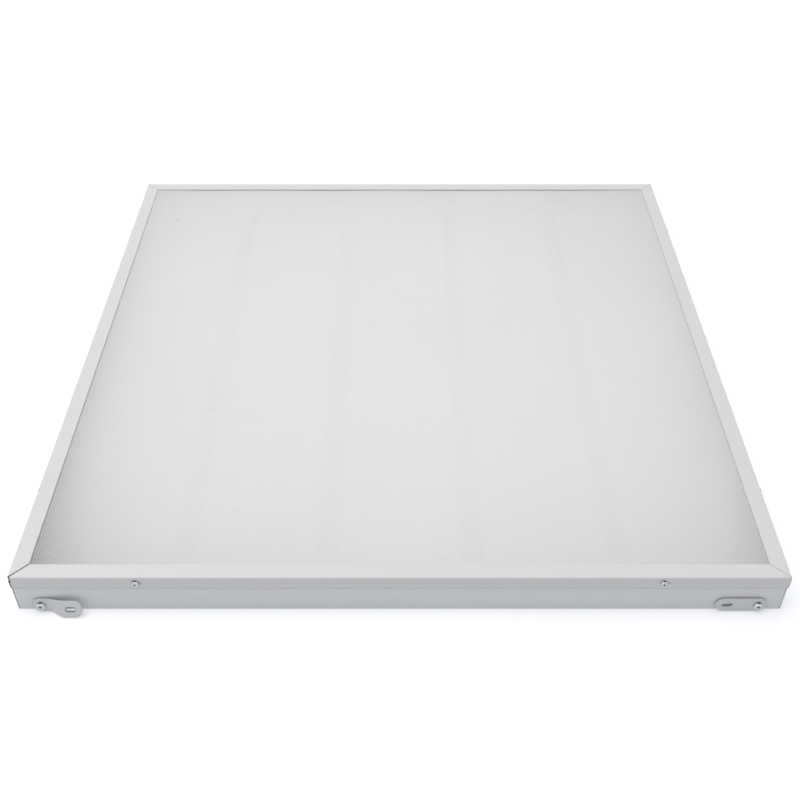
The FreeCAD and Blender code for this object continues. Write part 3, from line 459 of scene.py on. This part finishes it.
def moulded(name, tint, size, roughness, clouds=0.06, bump=0.015 * MM, metallic=0.0):
    """Moulded, enamelled or printed surface with a faint painted highlight along its edges and a grain of
    this size.
    """
    material, tree, shader = new_material(name)
    grain = effect(tree, "grain", Size=size, Clouds=clouds)
    edge = effect(tree, "edge", Width=0.15 * MM)
    base = mix_colour(tree, 1.0, tint, grain["Shade"], "MULTIPLY")
    # Painted highlight: a paler tint along the edges.
    edge_highlight_tint = [min(1.0, 1.25 * c + 0.03) for c in tint]
    edged = mix_colour(tree, maths(tree, "MULTIPLY", edge["Mask"], 0.5), base, edge_highlight_tint)
    feed(tree, shader.inputs["Base Color"], edged)
    uneven = remap(tree, grain["Fine"], 0.3, 0.7, roughness - 0.06, roughness + 0.06)
    feed(tree, shader.inputs["Roughness"], uneven)
    shader.inputs["Metallic"].default_value = metallic
    feed(tree, shader.inputs["Normal"], bumped(tree, grain["Height"], bump, 0.5))
    return material


def paint_nodes(material, *nodes):
    for node in nodes:
        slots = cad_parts[node].material_slots
        if not slots:
            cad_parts[node].data.materials.append(material)
        for slot in slots:
            slot.material = material


# ---------------------------------------------------------------- the light's pieces


class LIGHT_OT_painted_steel(bpy.types.Operator):
    """Powder coat on the folded tray and, a little greyer, on the four trim rails"""

    bl_idname = "ceiling_light.painted_steel"
    bl_label = "Tray and trim"

    def execute(self, context):
        paint = settings().paint
        paint_nodes(powder_coat("tray powder coat", paint.tray, paint, tray_shades), "housing_tray")
        paint_nodes(powder_coat("trim powder coat", paint.trim, paint, trim_shades), *TRIM)
        return {"FINISHED"}


class LIGHT_OT_brackets(bpy.types.Operator):
    """Powder coat on the four swivel brackets, with wider and paler edge lines: a painted highlight along
    their edges, and a little more worn
    """

    bl_idname = "ceiling_light.brackets"
    bl_label = "Swivel brackets"

    def execute(self, context):
        paint = settings().paint
        coat = powder_coat(
            "bracket powder coat",
            paint.brackets,
            paint,
            bracket_shades,
            # wide, pale edge lines for a painted highlight along the brackets' edges
            pale_edge_spread=2.2,
            pale_edge_share=0.8,
            joints=0.0,
            dust=0.02,
        )
        paint_nodes(coat, *BRACKETS)
        return {"FINISHED"}


class LIGHT_OT_fasteners(bpy.types.Operator):
    """Zinc plate on every screw, nut and stud"""

    bl_idname = "ceiling_light.fasteners"
    bl_label = "Fasteners"

    def execute(self, context):
        # Darker zinc whose heads carry a painted dark reflection on their upper side.
        reflecting_zinc = zinc("zinc plate with painted reflection", (0.62, 0.63, 0.66), dark_reflection=0.96)
        paint_nodes(reflecting_zinc, "trim_screws", "pivot_screws")
        paint_nodes(
            zinc("bright zinc plate"),
            "pivot_rivet_nuts",
            "board_screws",
            "driver_screws",
            "terminal_screws",
            "terminal_fixing_screws",
            "earth_stud",
            "earth_washer",
            "earth_nut",
        )
        return {"FINISHED"}


SHEET_CORNER = 3.0 * MM
SHEET_COLUMNS = 30
BOW_REACH = 60 * MM  # how far in from the back edge its bow is felt
BOW_WAVE = 31 * MM
BOW_SWELL = 90 * MM


def sheet_outline(half, along):
    """Half width of the sheet at this distance along it, with its round corners."""
    into = abs(along) - (half - SHEET_CORNER)
    if into <= 0:
        return half
    return half - SHEET_CORNER + math.sqrt(max(0.0, SHEET_CORNER**2 - into**2))


def sheet_height(sheet, x, y, half):
    """How far the sheet lies above its flat place: edges up, middle hanging, back edge bowed."""
    across, along = math.cos(math.pi * x / (2 * half)), math.cos(math.pi * y / (2 * half))
    hang = -(sheet.sag + sheet.lift) * (across * along) ** 0.7
    near_back = max(0.0, 1.0 - (half - y) / BOW_REACH) ** 2
    bow = 0.5 + 0.5 * math.sin(x / BOW_WAVE + 1.9) * math.cos(x / BOW_SWELL)
    return sheet.lift + hang - sheet.dip * near_back * (1 - bow)


def prism_sheet_mesh(sheet):
    """Sheet with moulded rows on its upper face. Every second line of points is a crest."""
    low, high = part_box("diffuser")
    half = high[0]
    rows = round(2 * (high[1] - low[1]) / sheet.pitch)
    points, top, under = [], [], []
    for row in range(rows + 1):
        y = low[1] + (high[1] - low[1]) * row / rows
        width = sheet_outline(half, y)
        top.append([])
        under.append([])
        for column in range(SHEET_COLUMNS + 1):
            x = width * (2 * column / SHEET_COLUMNS - 1)
            lift = sheet_height(sheet, x, y, half)
            crest = sheet.ridge if row % 2 and 0 < row < rows else 0.0
            top[-1].append(len(points))
            points.append((x, y, high[2] + lift + crest))
            under[-1].append(len(points))
            points.append((x, y, low[2] + lift))
    faces = []
    for row in range(rows):
        for column in range(SHEET_COLUMNS):
            a, b = top[row][column], top[row][column + 1]
            c, d = top[row + 1][column + 1], top[row + 1][column]
            faces.append((a, b, c, d))
            faces.append(tuple(p + 1 for p in (d, c, b, a)))
    rim = top[0] + [line[-1] for line in top[1:-1]] + top[-1][::-1] + [line[0] for line in top[-2:0:-1]]
    for a, b in zip(rim, rim[1:] + rim[:1]):
        faces.append((b, a, a + 1, b + 1))
    mesh = bpy.data.meshes.new("prism_sheet")
    mesh.from_pydata(points, [], faces)
    mesh.validate()
    mesh.update()
    return mesh


# What lies below the sheet is painted on it as shade, a little nearer to the front and to the middle.
BOARD_BANDS = (56.3 * MM, 168.5 * MM)  # from the middle, on both sides
BOARD_BAND_HALF = 9 * MM
BOARD_BAND_ENDS = (-0.281, 0.229)
BOARD_SHADE = 0.016
FIXING_DOTS = (-30.0 * MM, 73.0 * MM)  # one of them, and from one to the next
FIXING_INWARD = 1.0 * MM  # from the middle of a band
FIXING_HALF, FIXING_BLUR = 1.6 * MM, 3 * MM
FIXING_SHADE = 0.045
CONNECTORS = -0.264  # middle of the connectors at the boards' front ends
LEAD_BENDS = (  # middle and radius of each quarter turn at the boards' back ends
    (-0.137, 0.222, 0.027),
    (-0.102, 0.226, 0.027),
    (-0.041, 0.218, 0.037),
    (0.026, 0.217, 0.038),
)
LEAD_BEND_SHADE = 0.024
LEAD_RUNS = (  # middle and half sizes of each straight run
    ((-0.165, 0.165), (0.0012, 0.060)),
    ((0.0535, 0.172), (0.0014, 0.052)),
    ((0.172, 0.176), (0.0014, 0.062)),
    ((0.158, 0.2415), (0.014, 0.0012)),
    ((0.184, 0.2355), (0.012, 0.0012)),
)
LEAD_RUN_SHADE = 0.022
BACK_PATCHES = (  # middle, half sizes, width of the soft edges, and shade
    ((-0.2503, 0.2195), (2.5 * MM, 2.5 * MM), (6 * MM, 6 * MM), 0.09),  # cable entry
    ((0.188, 0.260), (14 * MM, 14 * MM), (20 * MM, 24 * MM), 0.03),  # beside the driver
    ((0.116, 0.268), (50 * MM, 12 * MM), (4 * MM, 4 * MM), -0.02),  # driver, painted paler than the tray
)


def board_shades(tree, x, y):
    """Painted shades of the boards' bands and of a dot at each fixing screw, and the mask of the connectors.
    """
    aside = maths(tree, "ABSOLUTE", x)
    low, high = BOARD_BAND_ENDS
    run = window(tree, y, (low + high) / 2, (high - low) / 2, 8 * MM)
    bands = maths(
        tree, "ADD", *(window(tree, aside, place, BOARD_BAND_HALF, 5 * MM) for place in BOARD_BANDS)
    )
    start, step = FIXING_DOTS
    along = maths(tree, "PINGPONG", maths(tree, "SUBTRACT", y, start), step / 2)
    rows = window(tree, along, 0.0, FIXING_HALF, FIXING_BLUR)
    columns = maths(
        tree,
        "ADD",
        *(window(tree, aside, place - FIXING_INWARD, FIXING_HALF, FIXING_BLUR) for place in BOARD_BANDS),
    )
    shades = [product(tree, bands, run, BOARD_SHADE), product(tree, rows, columns, run, FIXING_SHADE)]
    return shades, product(tree, bands, window(tree, y, CONNECTORS, 4 * MM, 12 * MM))


def lead_shades(tree, x, y):
    """Painted faint lines of shade where the leads lie behind the boards: quarter turns, then straight runs.
    """
    shades = []
    for middle_x, middle_y, radius in LEAD_BENDS:
        dx, dy = maths(tree, "SUBTRACT", x, middle_x), maths(tree, "SUBTRACT", y, middle_y)
        ring = window(tree, reach_from(tree, dx, dy), radius, 1.6 * MM, 5 * MM)
        quarter = product(tree, remap(tree, dx, 5 * MM, -4 * MM), remap(tree, dy, -12 * MM, 0.0))
        shades.append(product(tree, ring, quarter, LEAD_BEND_SHADE))
    for middle, half in LEAD_RUNS:
        shades.append(product(tree, patch(tree, x, y, middle, half, (5 * MM, 6 * MM)), LEAD_RUN_SHADE))
    return shades


def below_sheet(tree, x, y):
    """Painted shades of all that shows through the sheet, and the mask of the connectors, which tint it."""
    boards, connectors = board_shades(tree, x, y)
    back = [product(tree, patch(tree, x, y, *place), shade) for *place, shade in BACK_PATCHES]
    return boards + lead_shades(tree, x, y) + back, connectors


# How far the painted shade of each wall spreads over the sheet.
SIDE_SHADE, SIDE_HAZE = 21 * MM, 100 * MM
BACK_SHADE, BACK_HAZE = 10 * MM, 95 * MM
FRONT_HAZE = 70 * MM
CORNER_HAZE = 60 * MM
SIDE_FRONT, SIDE_BACK = 1.68, 0.32  # share of the wall shade at the front and at the back of a side


def wall_shades(tree, sheet, x, y, half):
    """Painted shades where the tray's walls stand below: deepest at the front of the left side."""
    rightward = remap(tree, x, -0.25, 0.25, smooth=True)

    def from_left(left, right):
        return remap(tree, rightward, 0.0, 1.0, left, right)

    edge = maths(tree, "SUBTRACT", half, maths(tree, "ABSOLUTE", x))
    front, back = maths(tree, "ADD", y, half), maths(tree, "SUBTRACT", half, y)
    deepest, least = SIDE_FRONT * sheet.wall_shade, SIDE_BACK * sheet.wall_shade
    strength = remap(tree, y, -half, half, deepest, least)
    corner = product(tree, fade(tree, edge, CORNER_HAZE), fade(tree, front, CORNER_HAZE))
    return [
        product(tree, fade(tree, edge, SIDE_SHADE), product(tree, strength, from_left(1.0, 0.5))),
        product(tree, fade(tree, edge, SIDE_HAZE), from_left(0.08, 0.10)),
        fade(tree, front, FRONT_HAZE, 0.12),
        fade(tree, back, BACK_HAZE, 0.12),
        fade(tree, back, BACK_SHADE, 0.08),
        product(tree, corner, from_left(0.40, 0.15)),
    ]


def prism_beads(tree, x, y, pitch):
    """1 in the middle of each prism and 0 in the grooves between them."""
    turns = (maths(tree, "MULTIPLY", value, 2 * math.pi / pitch) for value in (x, y))
    return product(tree, *(remap(tree, maths(tree, "COSINE", turn), -1.0, 1.0) for turn in turns))


BEAD_MEAN = 0.25  # of prism_beads, over the sheet
CONNECTOR_TONE = (0.90, 0.86, 0.835)  # a little red, from the leads' ends
CONNECTOR_COVER = 0.36
SHEET_DUST_TONE = (0.70, 0.69, 0.67)


def prism_sheet_material(sheet):
    """Pale moulded sheet with painted shade over the tray's walls, and prisms that show most where that
    painted shade is deepest.
    """
    material, tree, shader = new_material("prismatic sheet")
    x, y = apart(tree, here(tree))[:2]
    beads = prism_beads(tree, x, y, sheet.pitch)
    deep = shaded(tree, 1.0, *wall_shades(tree, sheet, x, y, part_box("diffuser")[1][0]))
    below, connectors = below_sheet(tree, x, y)
    cloud = remap(tree, noise(tree, here(tree), scale=7.0, detail=3.0), 0.3, 0.7, 0.99, 1.01)
    tone = product(tree, shaded(tree, deep, *below), cloud)

    uneven = remap(tree, noise(tree, here(tree), scale=420.0, detail=2.0), 0.3, 0.7, 0.6, 1.4)
    at_walls = remap(tree, deep, 0.52, 0.82, 6.8, 1.25)
    at_middle = remap(tree, deep, 0.90, 1.0, 1.1, 0.45)
    contrast = product(tree, at_walls, at_middle, sheet.bead_contrast, uneven)
    ripple = maths(tree, "MULTIPLY_ADD", maths(tree, "SUBTRACT", beads, BEAD_MEAN), contrast, 1.0)

    tint = mix_colour(tree, remap(tree, deep, 0.6, 0.97), sheet.edge_tint, sheet.tint)
    tint = mix_colour(tree, product(tree, connectors, CONNECTOR_COVER), tint, CONNECTOR_TONE)
    tint = mix_colour(tree, 1.0, tint, product(tree, tone, ripple), "MULTIPLY")
    dusty = mix_colour(tree, effect(tree, "dust", Amount=0.03)["Mask"], tint, SHEET_DUST_TONE)
    feed(tree, shader.inputs["Base Color"], dusty)
    grain = effect(tree, "grain", Size=0.8 * MM, Clouds=0.0)
    feed(tree, shader.inputs["Roughness"], remap(tree, grain["Fine"], 0.3, 0.7, 0.42, 0.54))
    shader.inputs["IOR"].default_value = 1.49
    shader.inputs["Specular IOR Level"].default_value = 0.35
    shader.inputs["Alpha"].default_value = sheet.opacity
    feed(tree, shader.inputs["Normal"], bumped(tree, beads, 0.12 * MM, 0.35))
    return material


class LIGHT_OT_prism_sheet(bpy.types.Operator):
    """Prismatic sheet with moulded rows, in place of the plain slab"""

    bl_idname = "ceiling_light.prism_sheet"
    bl_label = "Prismatic sheet"

    def execute(self, context):
        sheet = settings().sheet
        piece = bpy.data.objects.new("prism_sheet", prism_sheet_mesh(sheet))
        context.scene.collection.objects.link(piece)
        piece.data.materials.append(prism_sheet_material(sheet))
        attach(piece, LIGHT)
        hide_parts("diffuser")
        return {"FINISHED"}


DOME_RADIUS = 1.05 * MM
DOME_RISE = 0.12 * MM
DOME_SINK = 0.02 * MM  # how deep its rim lies in the package
DOME_SIDES = 12


def phosphor_mesh(nodes):
    """Low yellow dome in the window of each LED package."""
    rings = ((0.6 * DOME_RADIUS, 0.75 * DOME_RISE), (DOME_RADIUS, -DOME_SINK))
    points, faces = [], []
    for node in nodes:
        for x, y, z in package_tops(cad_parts[node]):
            peak = len(points)
            points.append((x, y, z + DOME_RISE))
            for reach, height in rings:
                for side in range(DOME_SIDES):
                    angle = 2 * math.pi * side / DOME_SIDES
                    points.append((x + reach * math.cos(angle), y + reach * math.sin(angle), z + height))
            inner, outer = peak + 1, peak + 1 + DOME_SIDES
            for side in range(DOME_SIDES):
                after = (side + 1) % DOME_SIDES
                faces.append((peak, inner + side, inner + after))
                faces.append((inner + side, outer + side, outer + after, inner + after))
            faces.append(tuple(outer + side for side in reversed(range(DOME_SIDES))))
    mesh = bpy.data.meshes.new("phosphor_windows")
    mesh.from_pydata(points, [], faces)
    mesh.update()
    return mesh


PACKAGE_GAP = 6 * MM  # corners nearer than this along a board are of one package


def package_tops(piece):
    """Middle of the top of each LED package in a node, found from the tops' corners."""
    corners = [v.co for v in piece.data.vertices]
    top = max(c.z for c in corners)
    high = sorted((c for c in corners if top - c.z < 0.05 * MM), key=lambda c: c.y)
    clusters = []
    for corner in high:
        if clusters and corner.y - clusters[-1][-1].y < PACKAGE_GAP:
            clusters[-1].append(corner)
        else:
            clusters.append([corner])
    middles = []
    for cluster in clusters:
        x = (min(c.x for c in cluster) + max(c.x for c in cluster)) / 2
        y = (min(c.y for c in cluster) + max(c.y for c in cluster)) / 2
        middles.append((x, y, top))
    return middles


class LIGHT_OT_boards(bpy.types.Operator):
    """LED boards with their packages, phosphor windows and connectors"""

    bl_idname = "ceiling_light.boards"
    bl_label = "LED boards"

    def execute(self, context):
        boards = [f"led_board_{number}" for number in BOARD_NUMBERS]
        chips = [f"led_chips_{number}" for number in BOARD_NUMBERS]
        mask = moulded("white solder mask", (0.62, 0.625, 0.63), size=0.3 * MM, roughness=0.35)
        paint_nodes(mask, *boards)
        paint_nodes(moulded("package resin", (0.80, 0.79, 0.74), size=0.2 * MM, roughness=0.4), *chips)
        nylon = moulded("moulded nylon", (0.82, 0.82, 0.80), size=0.5 * MM, roughness=0.45)
        paint_nodes(nylon, "back_connectors", "front_connectors", "lead_clips", "terminal_block")
        piece = bpy.data.objects.new("phosphor_windows", phosphor_mesh(chips))
        context.scene.collection.objects.link(piece)
        gel = moulded("phosphor", (0.86, 0.72, 0.22), size=0.15 * MM, roughness=0.3, clouds=0.15)
        piece.data.materials.append(gel)
        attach(piece, LIGHT)
        return {"FINISHED"}


SOLDERED = {  # colour, grain size and roughness, and what has them
    "green solder mask": ((0.04, 0.20, 0.07), 0.3 * MM, 0.3, ("driver_circuit_board",)),
    "ferrite": ((0.05, 0.05, 0.055), 0.25 * MM, 0.6, ("transformer_core", "driver_choke")),
    "capacitor sleeve": ((0.03, 0.035, 0.07), 0.4 * MM, 0.3, ("driver_capacitors",)),
    "film capacitor": ((0.60, 0.34, 0.03), 0.4 * MM, 0.35, ("driver_film_capacitor",)),
    "black epoxy": ((0.02, 0.02, 0.02), 0.3 * MM, 0.5, ("driver_rectifier", "driver_transistor")),
}


class LIGHT_OT_driver(bpy.types.Operator):
    """Driver case, and what is soldered to the board inside it"""

    bl_idname = "ceiling_light.driver"
    bl_label = "Driver"

    def execute(self, context):
        case = moulded(
            "driver case", (0.80, 0.80, 0.78), size=0.7 * MM, roughness=0.48, clouds=0.05, bump=0.03 * MM
        )
        paint_nodes(case, "driver_case", "driver_cover")
        winding = moulded(
            "enamelled copper",
            (0.55, 0.20, 0.07),
            size=0.3 * MM,
            roughness=0.25,
            clouds=0.1,
            bump=0.03 * MM,
            metallic=1.0,
        )
        paint_nodes(winding, "transformer_winding")
        for name, (tint, size, roughness, nodes) in SOLDERED.items():
            paint_nodes(moulded(name, tint, size=size, roughness=roughness), *nodes)
        return {"FINISHED"}


class LIGHT_OT_cable_entry(bpy.types.Operator):
    """Rubber grommet, terminal clamps and earth lug"""

    bl_idname = "ceiling_light.cable_entry"
    bl_label = "Cable entry"

    def execute(self, context):
        rubber = moulded("black rubber", (0.02, 0.02, 0.02), size=0.6 * MM, roughness=0.7)
        paint_nodes(rubber, "cable_grommet")
        tin = moulded(
            "tinned brass",
            (0.62, 0.59, 0.50),
            size=0.3 * MM,
            roughness=0.35,
            clouds=0.1,
            bump=0.01 * MM,
            metallic=1.0,
        )
        paint_nodes(tin, "terminal_clamps", "earth_lug")
        return {"FINISHED"}


INSULATION = {
    "red": ((0.50, 0.02, 0.015), ("output_leads_red", "front_jumper_leads")),
    "black": ((0.02, 0.02, 0.02), ("output_leads_black",)),
    "brown": ((0.10, 0.035, 0.012), ("live_lead",)),
    "blue": ((0.015, 0.07, 0.35), ("neutral_lead",)),
    "green yellow": ((0.35, 0.42, 0.03), ("earth_lead",)),
}


class LIGHT_OT_leads(bpy.types.Operator):
    """Insulation of the leads inside the light"""

    bl_idname = "ceiling_light.leads"
    bl_label = "Leads"

    def execute(self, context):
        for name, (tint, nodes) in INSULATION.items():
            cover = moulded(f"{name} insulation", tint, size=0.5 * MM, roughness=0.4, clouds=0.12)
            paint_nodes(cover, *nodes)
        return {"FINISHED"}


# ---------------------------------------------------------------- stage

CAMERA_PLACE = (0.0004, -0.8080, 0.6612)
CAMERA_TILT = 48.97  # degrees up from straight down
CAMERA_LENS, CAMERA_SENSOR = 47.23, 36.0  # both in mm
FLOOR_SIDE = 14.0
GLOW_FROM, GLOW_TO = 0.7, 2.2  # from the middle, where the floor's glow starts to grow and is full
SKY_TINT = (0.965, 0.98, 1.0)
KEY_PLACE = (-0.45, 0.05, 2.4)
KEY_TINT = (1.0, 0.993, 0.98)
WHITE = (1.0, 1.0, 1.0)


def seen_directly(tree):
    """1 for rays that show the backdrop: to the camera, or by way of metal or glass."""
    path = tree.nodes.new("ShaderNodeLightPath").outputs
    straight = maths(tree, "MAXIMUM", path["Is Camera Ray"], path["Is Glossy Ray"])
    return maths(tree, "MAXIMUM", straight, path["Is Transmission Ray"])


def floor_piece(stage):
    """Plain floor. Its glow, which grows far away, makes it white to the camera and leaves a shadow."""
    half = FLOOR_SIDE / 2
    corners = [(-half, -half, 0), (half, -half, 0), (half, half, 0), (-half, half, 0)]
    mesh = bpy.data.meshes.new("floor")
    mesh.from_pydata(corners, [], [(0, 1, 2, 3)])
    floor = bpy.data.objects.new("floor", mesh)
    bpy.context.scene.collection.objects.link(floor)
    material, tree, shader = new_material("studio floor")
    mottle = remap(tree, noise(tree, here(tree), scale=3.0, detail=3.0), 0.3, 0.7, 0.99, 1.01)
    feed(tree, shader.inputs["Base Color"], mix_colour(tree, 1.0, stage.floor, mottle, "MULTIPLY"))
    shader.inputs["Roughness"].default_value = 0.9
    shader.inputs["Specular IOR Level"].default_value = 0.0
    feed(tree, shader.inputs["Emission Color"], WHITE)
    away = add(tree, "ShaderNodeVectorMath", {0: here(tree)}, operation="LENGTH").outputs["Value"]
    glow = remap(tree, away, GLOW_FROM, GLOW_TO, stage.floor_glow, 1.0)
    feed(tree, shader.inputs["Emission Strength"], product(tree, seen_directly(tree), glow))
    mesh.materials.append(material)


def studio_world(stage):
    """Soft light from all sides, which the camera sees as plain white."""
    world = bpy.data.worlds.new("studio")
    bpy.context.scene.world = world
    world.use_nodes = True
    tree = world.node_tree
    tree.nodes.clear()
    soft = add(tree, "ShaderNodeBackground", {"Color": SKY_TINT, "Strength": stage.sky})
    white = add(tree, "ShaderNodeBackground", {"Color": WHITE, "Strength": 1.0})
    both = add(tree, "ShaderNodeMixShader", {0: seen_directly(tree), 1: soft.outputs[0], 2: white.outputs[0]})
    output = tree.nodes.new("ShaderNodeOutputWorld")
    tree.links.new(both.outputs[0], output.inputs["Surface"])


def key_lamp(stage):
    """Square softbox overhead, a little to the left, turned towards the light."""
    lamp = bpy.data.lights.new("key", "AREA")
    lamp.shape = "SQUARE"
    lamp.size = stage.key_size
    lamp.energy = stage.key_power
    lamp.color = KEY_TINT
    piece = bpy.data.objects.new("key", lamp)
    piece.location = KEY_PLACE
    piece.rotation_euler = (-Vector(KEY_PLACE)).to_track_quat("-Z", "Y").to_euler()
    bpy.context.scene.collection.objects.link(piece)


def stage_camera():
    camera = bpy.data.cameras.new("camera")
    camera.lens = CAMERA_LENS
    camera.sensor_width = CAMERA_SENSOR
    piece = bpy.data.objects.new("camera", camera)
    piece.location = CAMERA_PLACE
    piece.rotation_euler = Euler((math.radians(CAMERA_TILT), 0.0, 0.0))
    bpy.context.scene.collection.objects.link(piece)
    bpy.context.scene.camera = piece


class LIGHT_OT_stage(bpy.types.Operator):
    """Pale floor, white backdrop, overhead softbox and the camera"""

    bl_idname = "ceiling_light.stage"
    bl_label = "Stage"

    def execute(self, context):
        stage = settings().stage
        context.scene.view_settings.view_transform = "Standard"
        floor_piece(stage)
        studio_world(stage)
        key_lamp(stage)
        stage_camera()
        return {"FINISHED"}


OPERATORS = (
    LIGHT_OT_stage,
    LIGHT_OT_painted_steel,
    LIGHT_OT_brackets,
    LIGHT_OT_fasteners,
    LIGHT_OT_boards,
    LIGHT_OT_driver,
    LIGHT_OT_cable_entry,
    LIGHT_OT_leads,
    LIGHT_OT_prism_sheet,
)


class LIGHT_PT_pieces(bpy.types.Panel):
    """Lists the light's pieces and their settings"""

    bl_idname = "LIGHT_PT_pieces"
    bl_label = "Ceiling light"
    bl_space_type = "VIEW_3D"
    bl_region_type = "UI"
    bl_category = "Ceiling light"

    def draw(self, context):
        for part in (settings().paint, settings().sheet, settings().stage):
            box = self.layout.box()
            for name in part.__annotations__:
                box.prop(part, name)
        for operator in OPERATORS:
            self.layout.operator(operator.bl_idname)


CLASSES = (PaintSettings, SheetSettings, StageSettings, LightSettings, *OPERATORS, LIGHT_PT_pieces)


def register():
    for made in CLASSES:
        bpy.utils.register_class(made)
    bpy.types.Scene.ceiling_light = bpy.props.PointerProperty(type=LightSettings)


def unregister():
    del bpy.types.Scene.ceiling_light
    for made in reversed(CLASSES):
        bpy.utils.unregister_class(made)


def main():
    register()
    for operator in OPERATORS:
        family, name = operator.bl_idname.split(".")
        getattr(getattr(bpy.ops, family), name)()


if __name__ == "__main__":
    main()
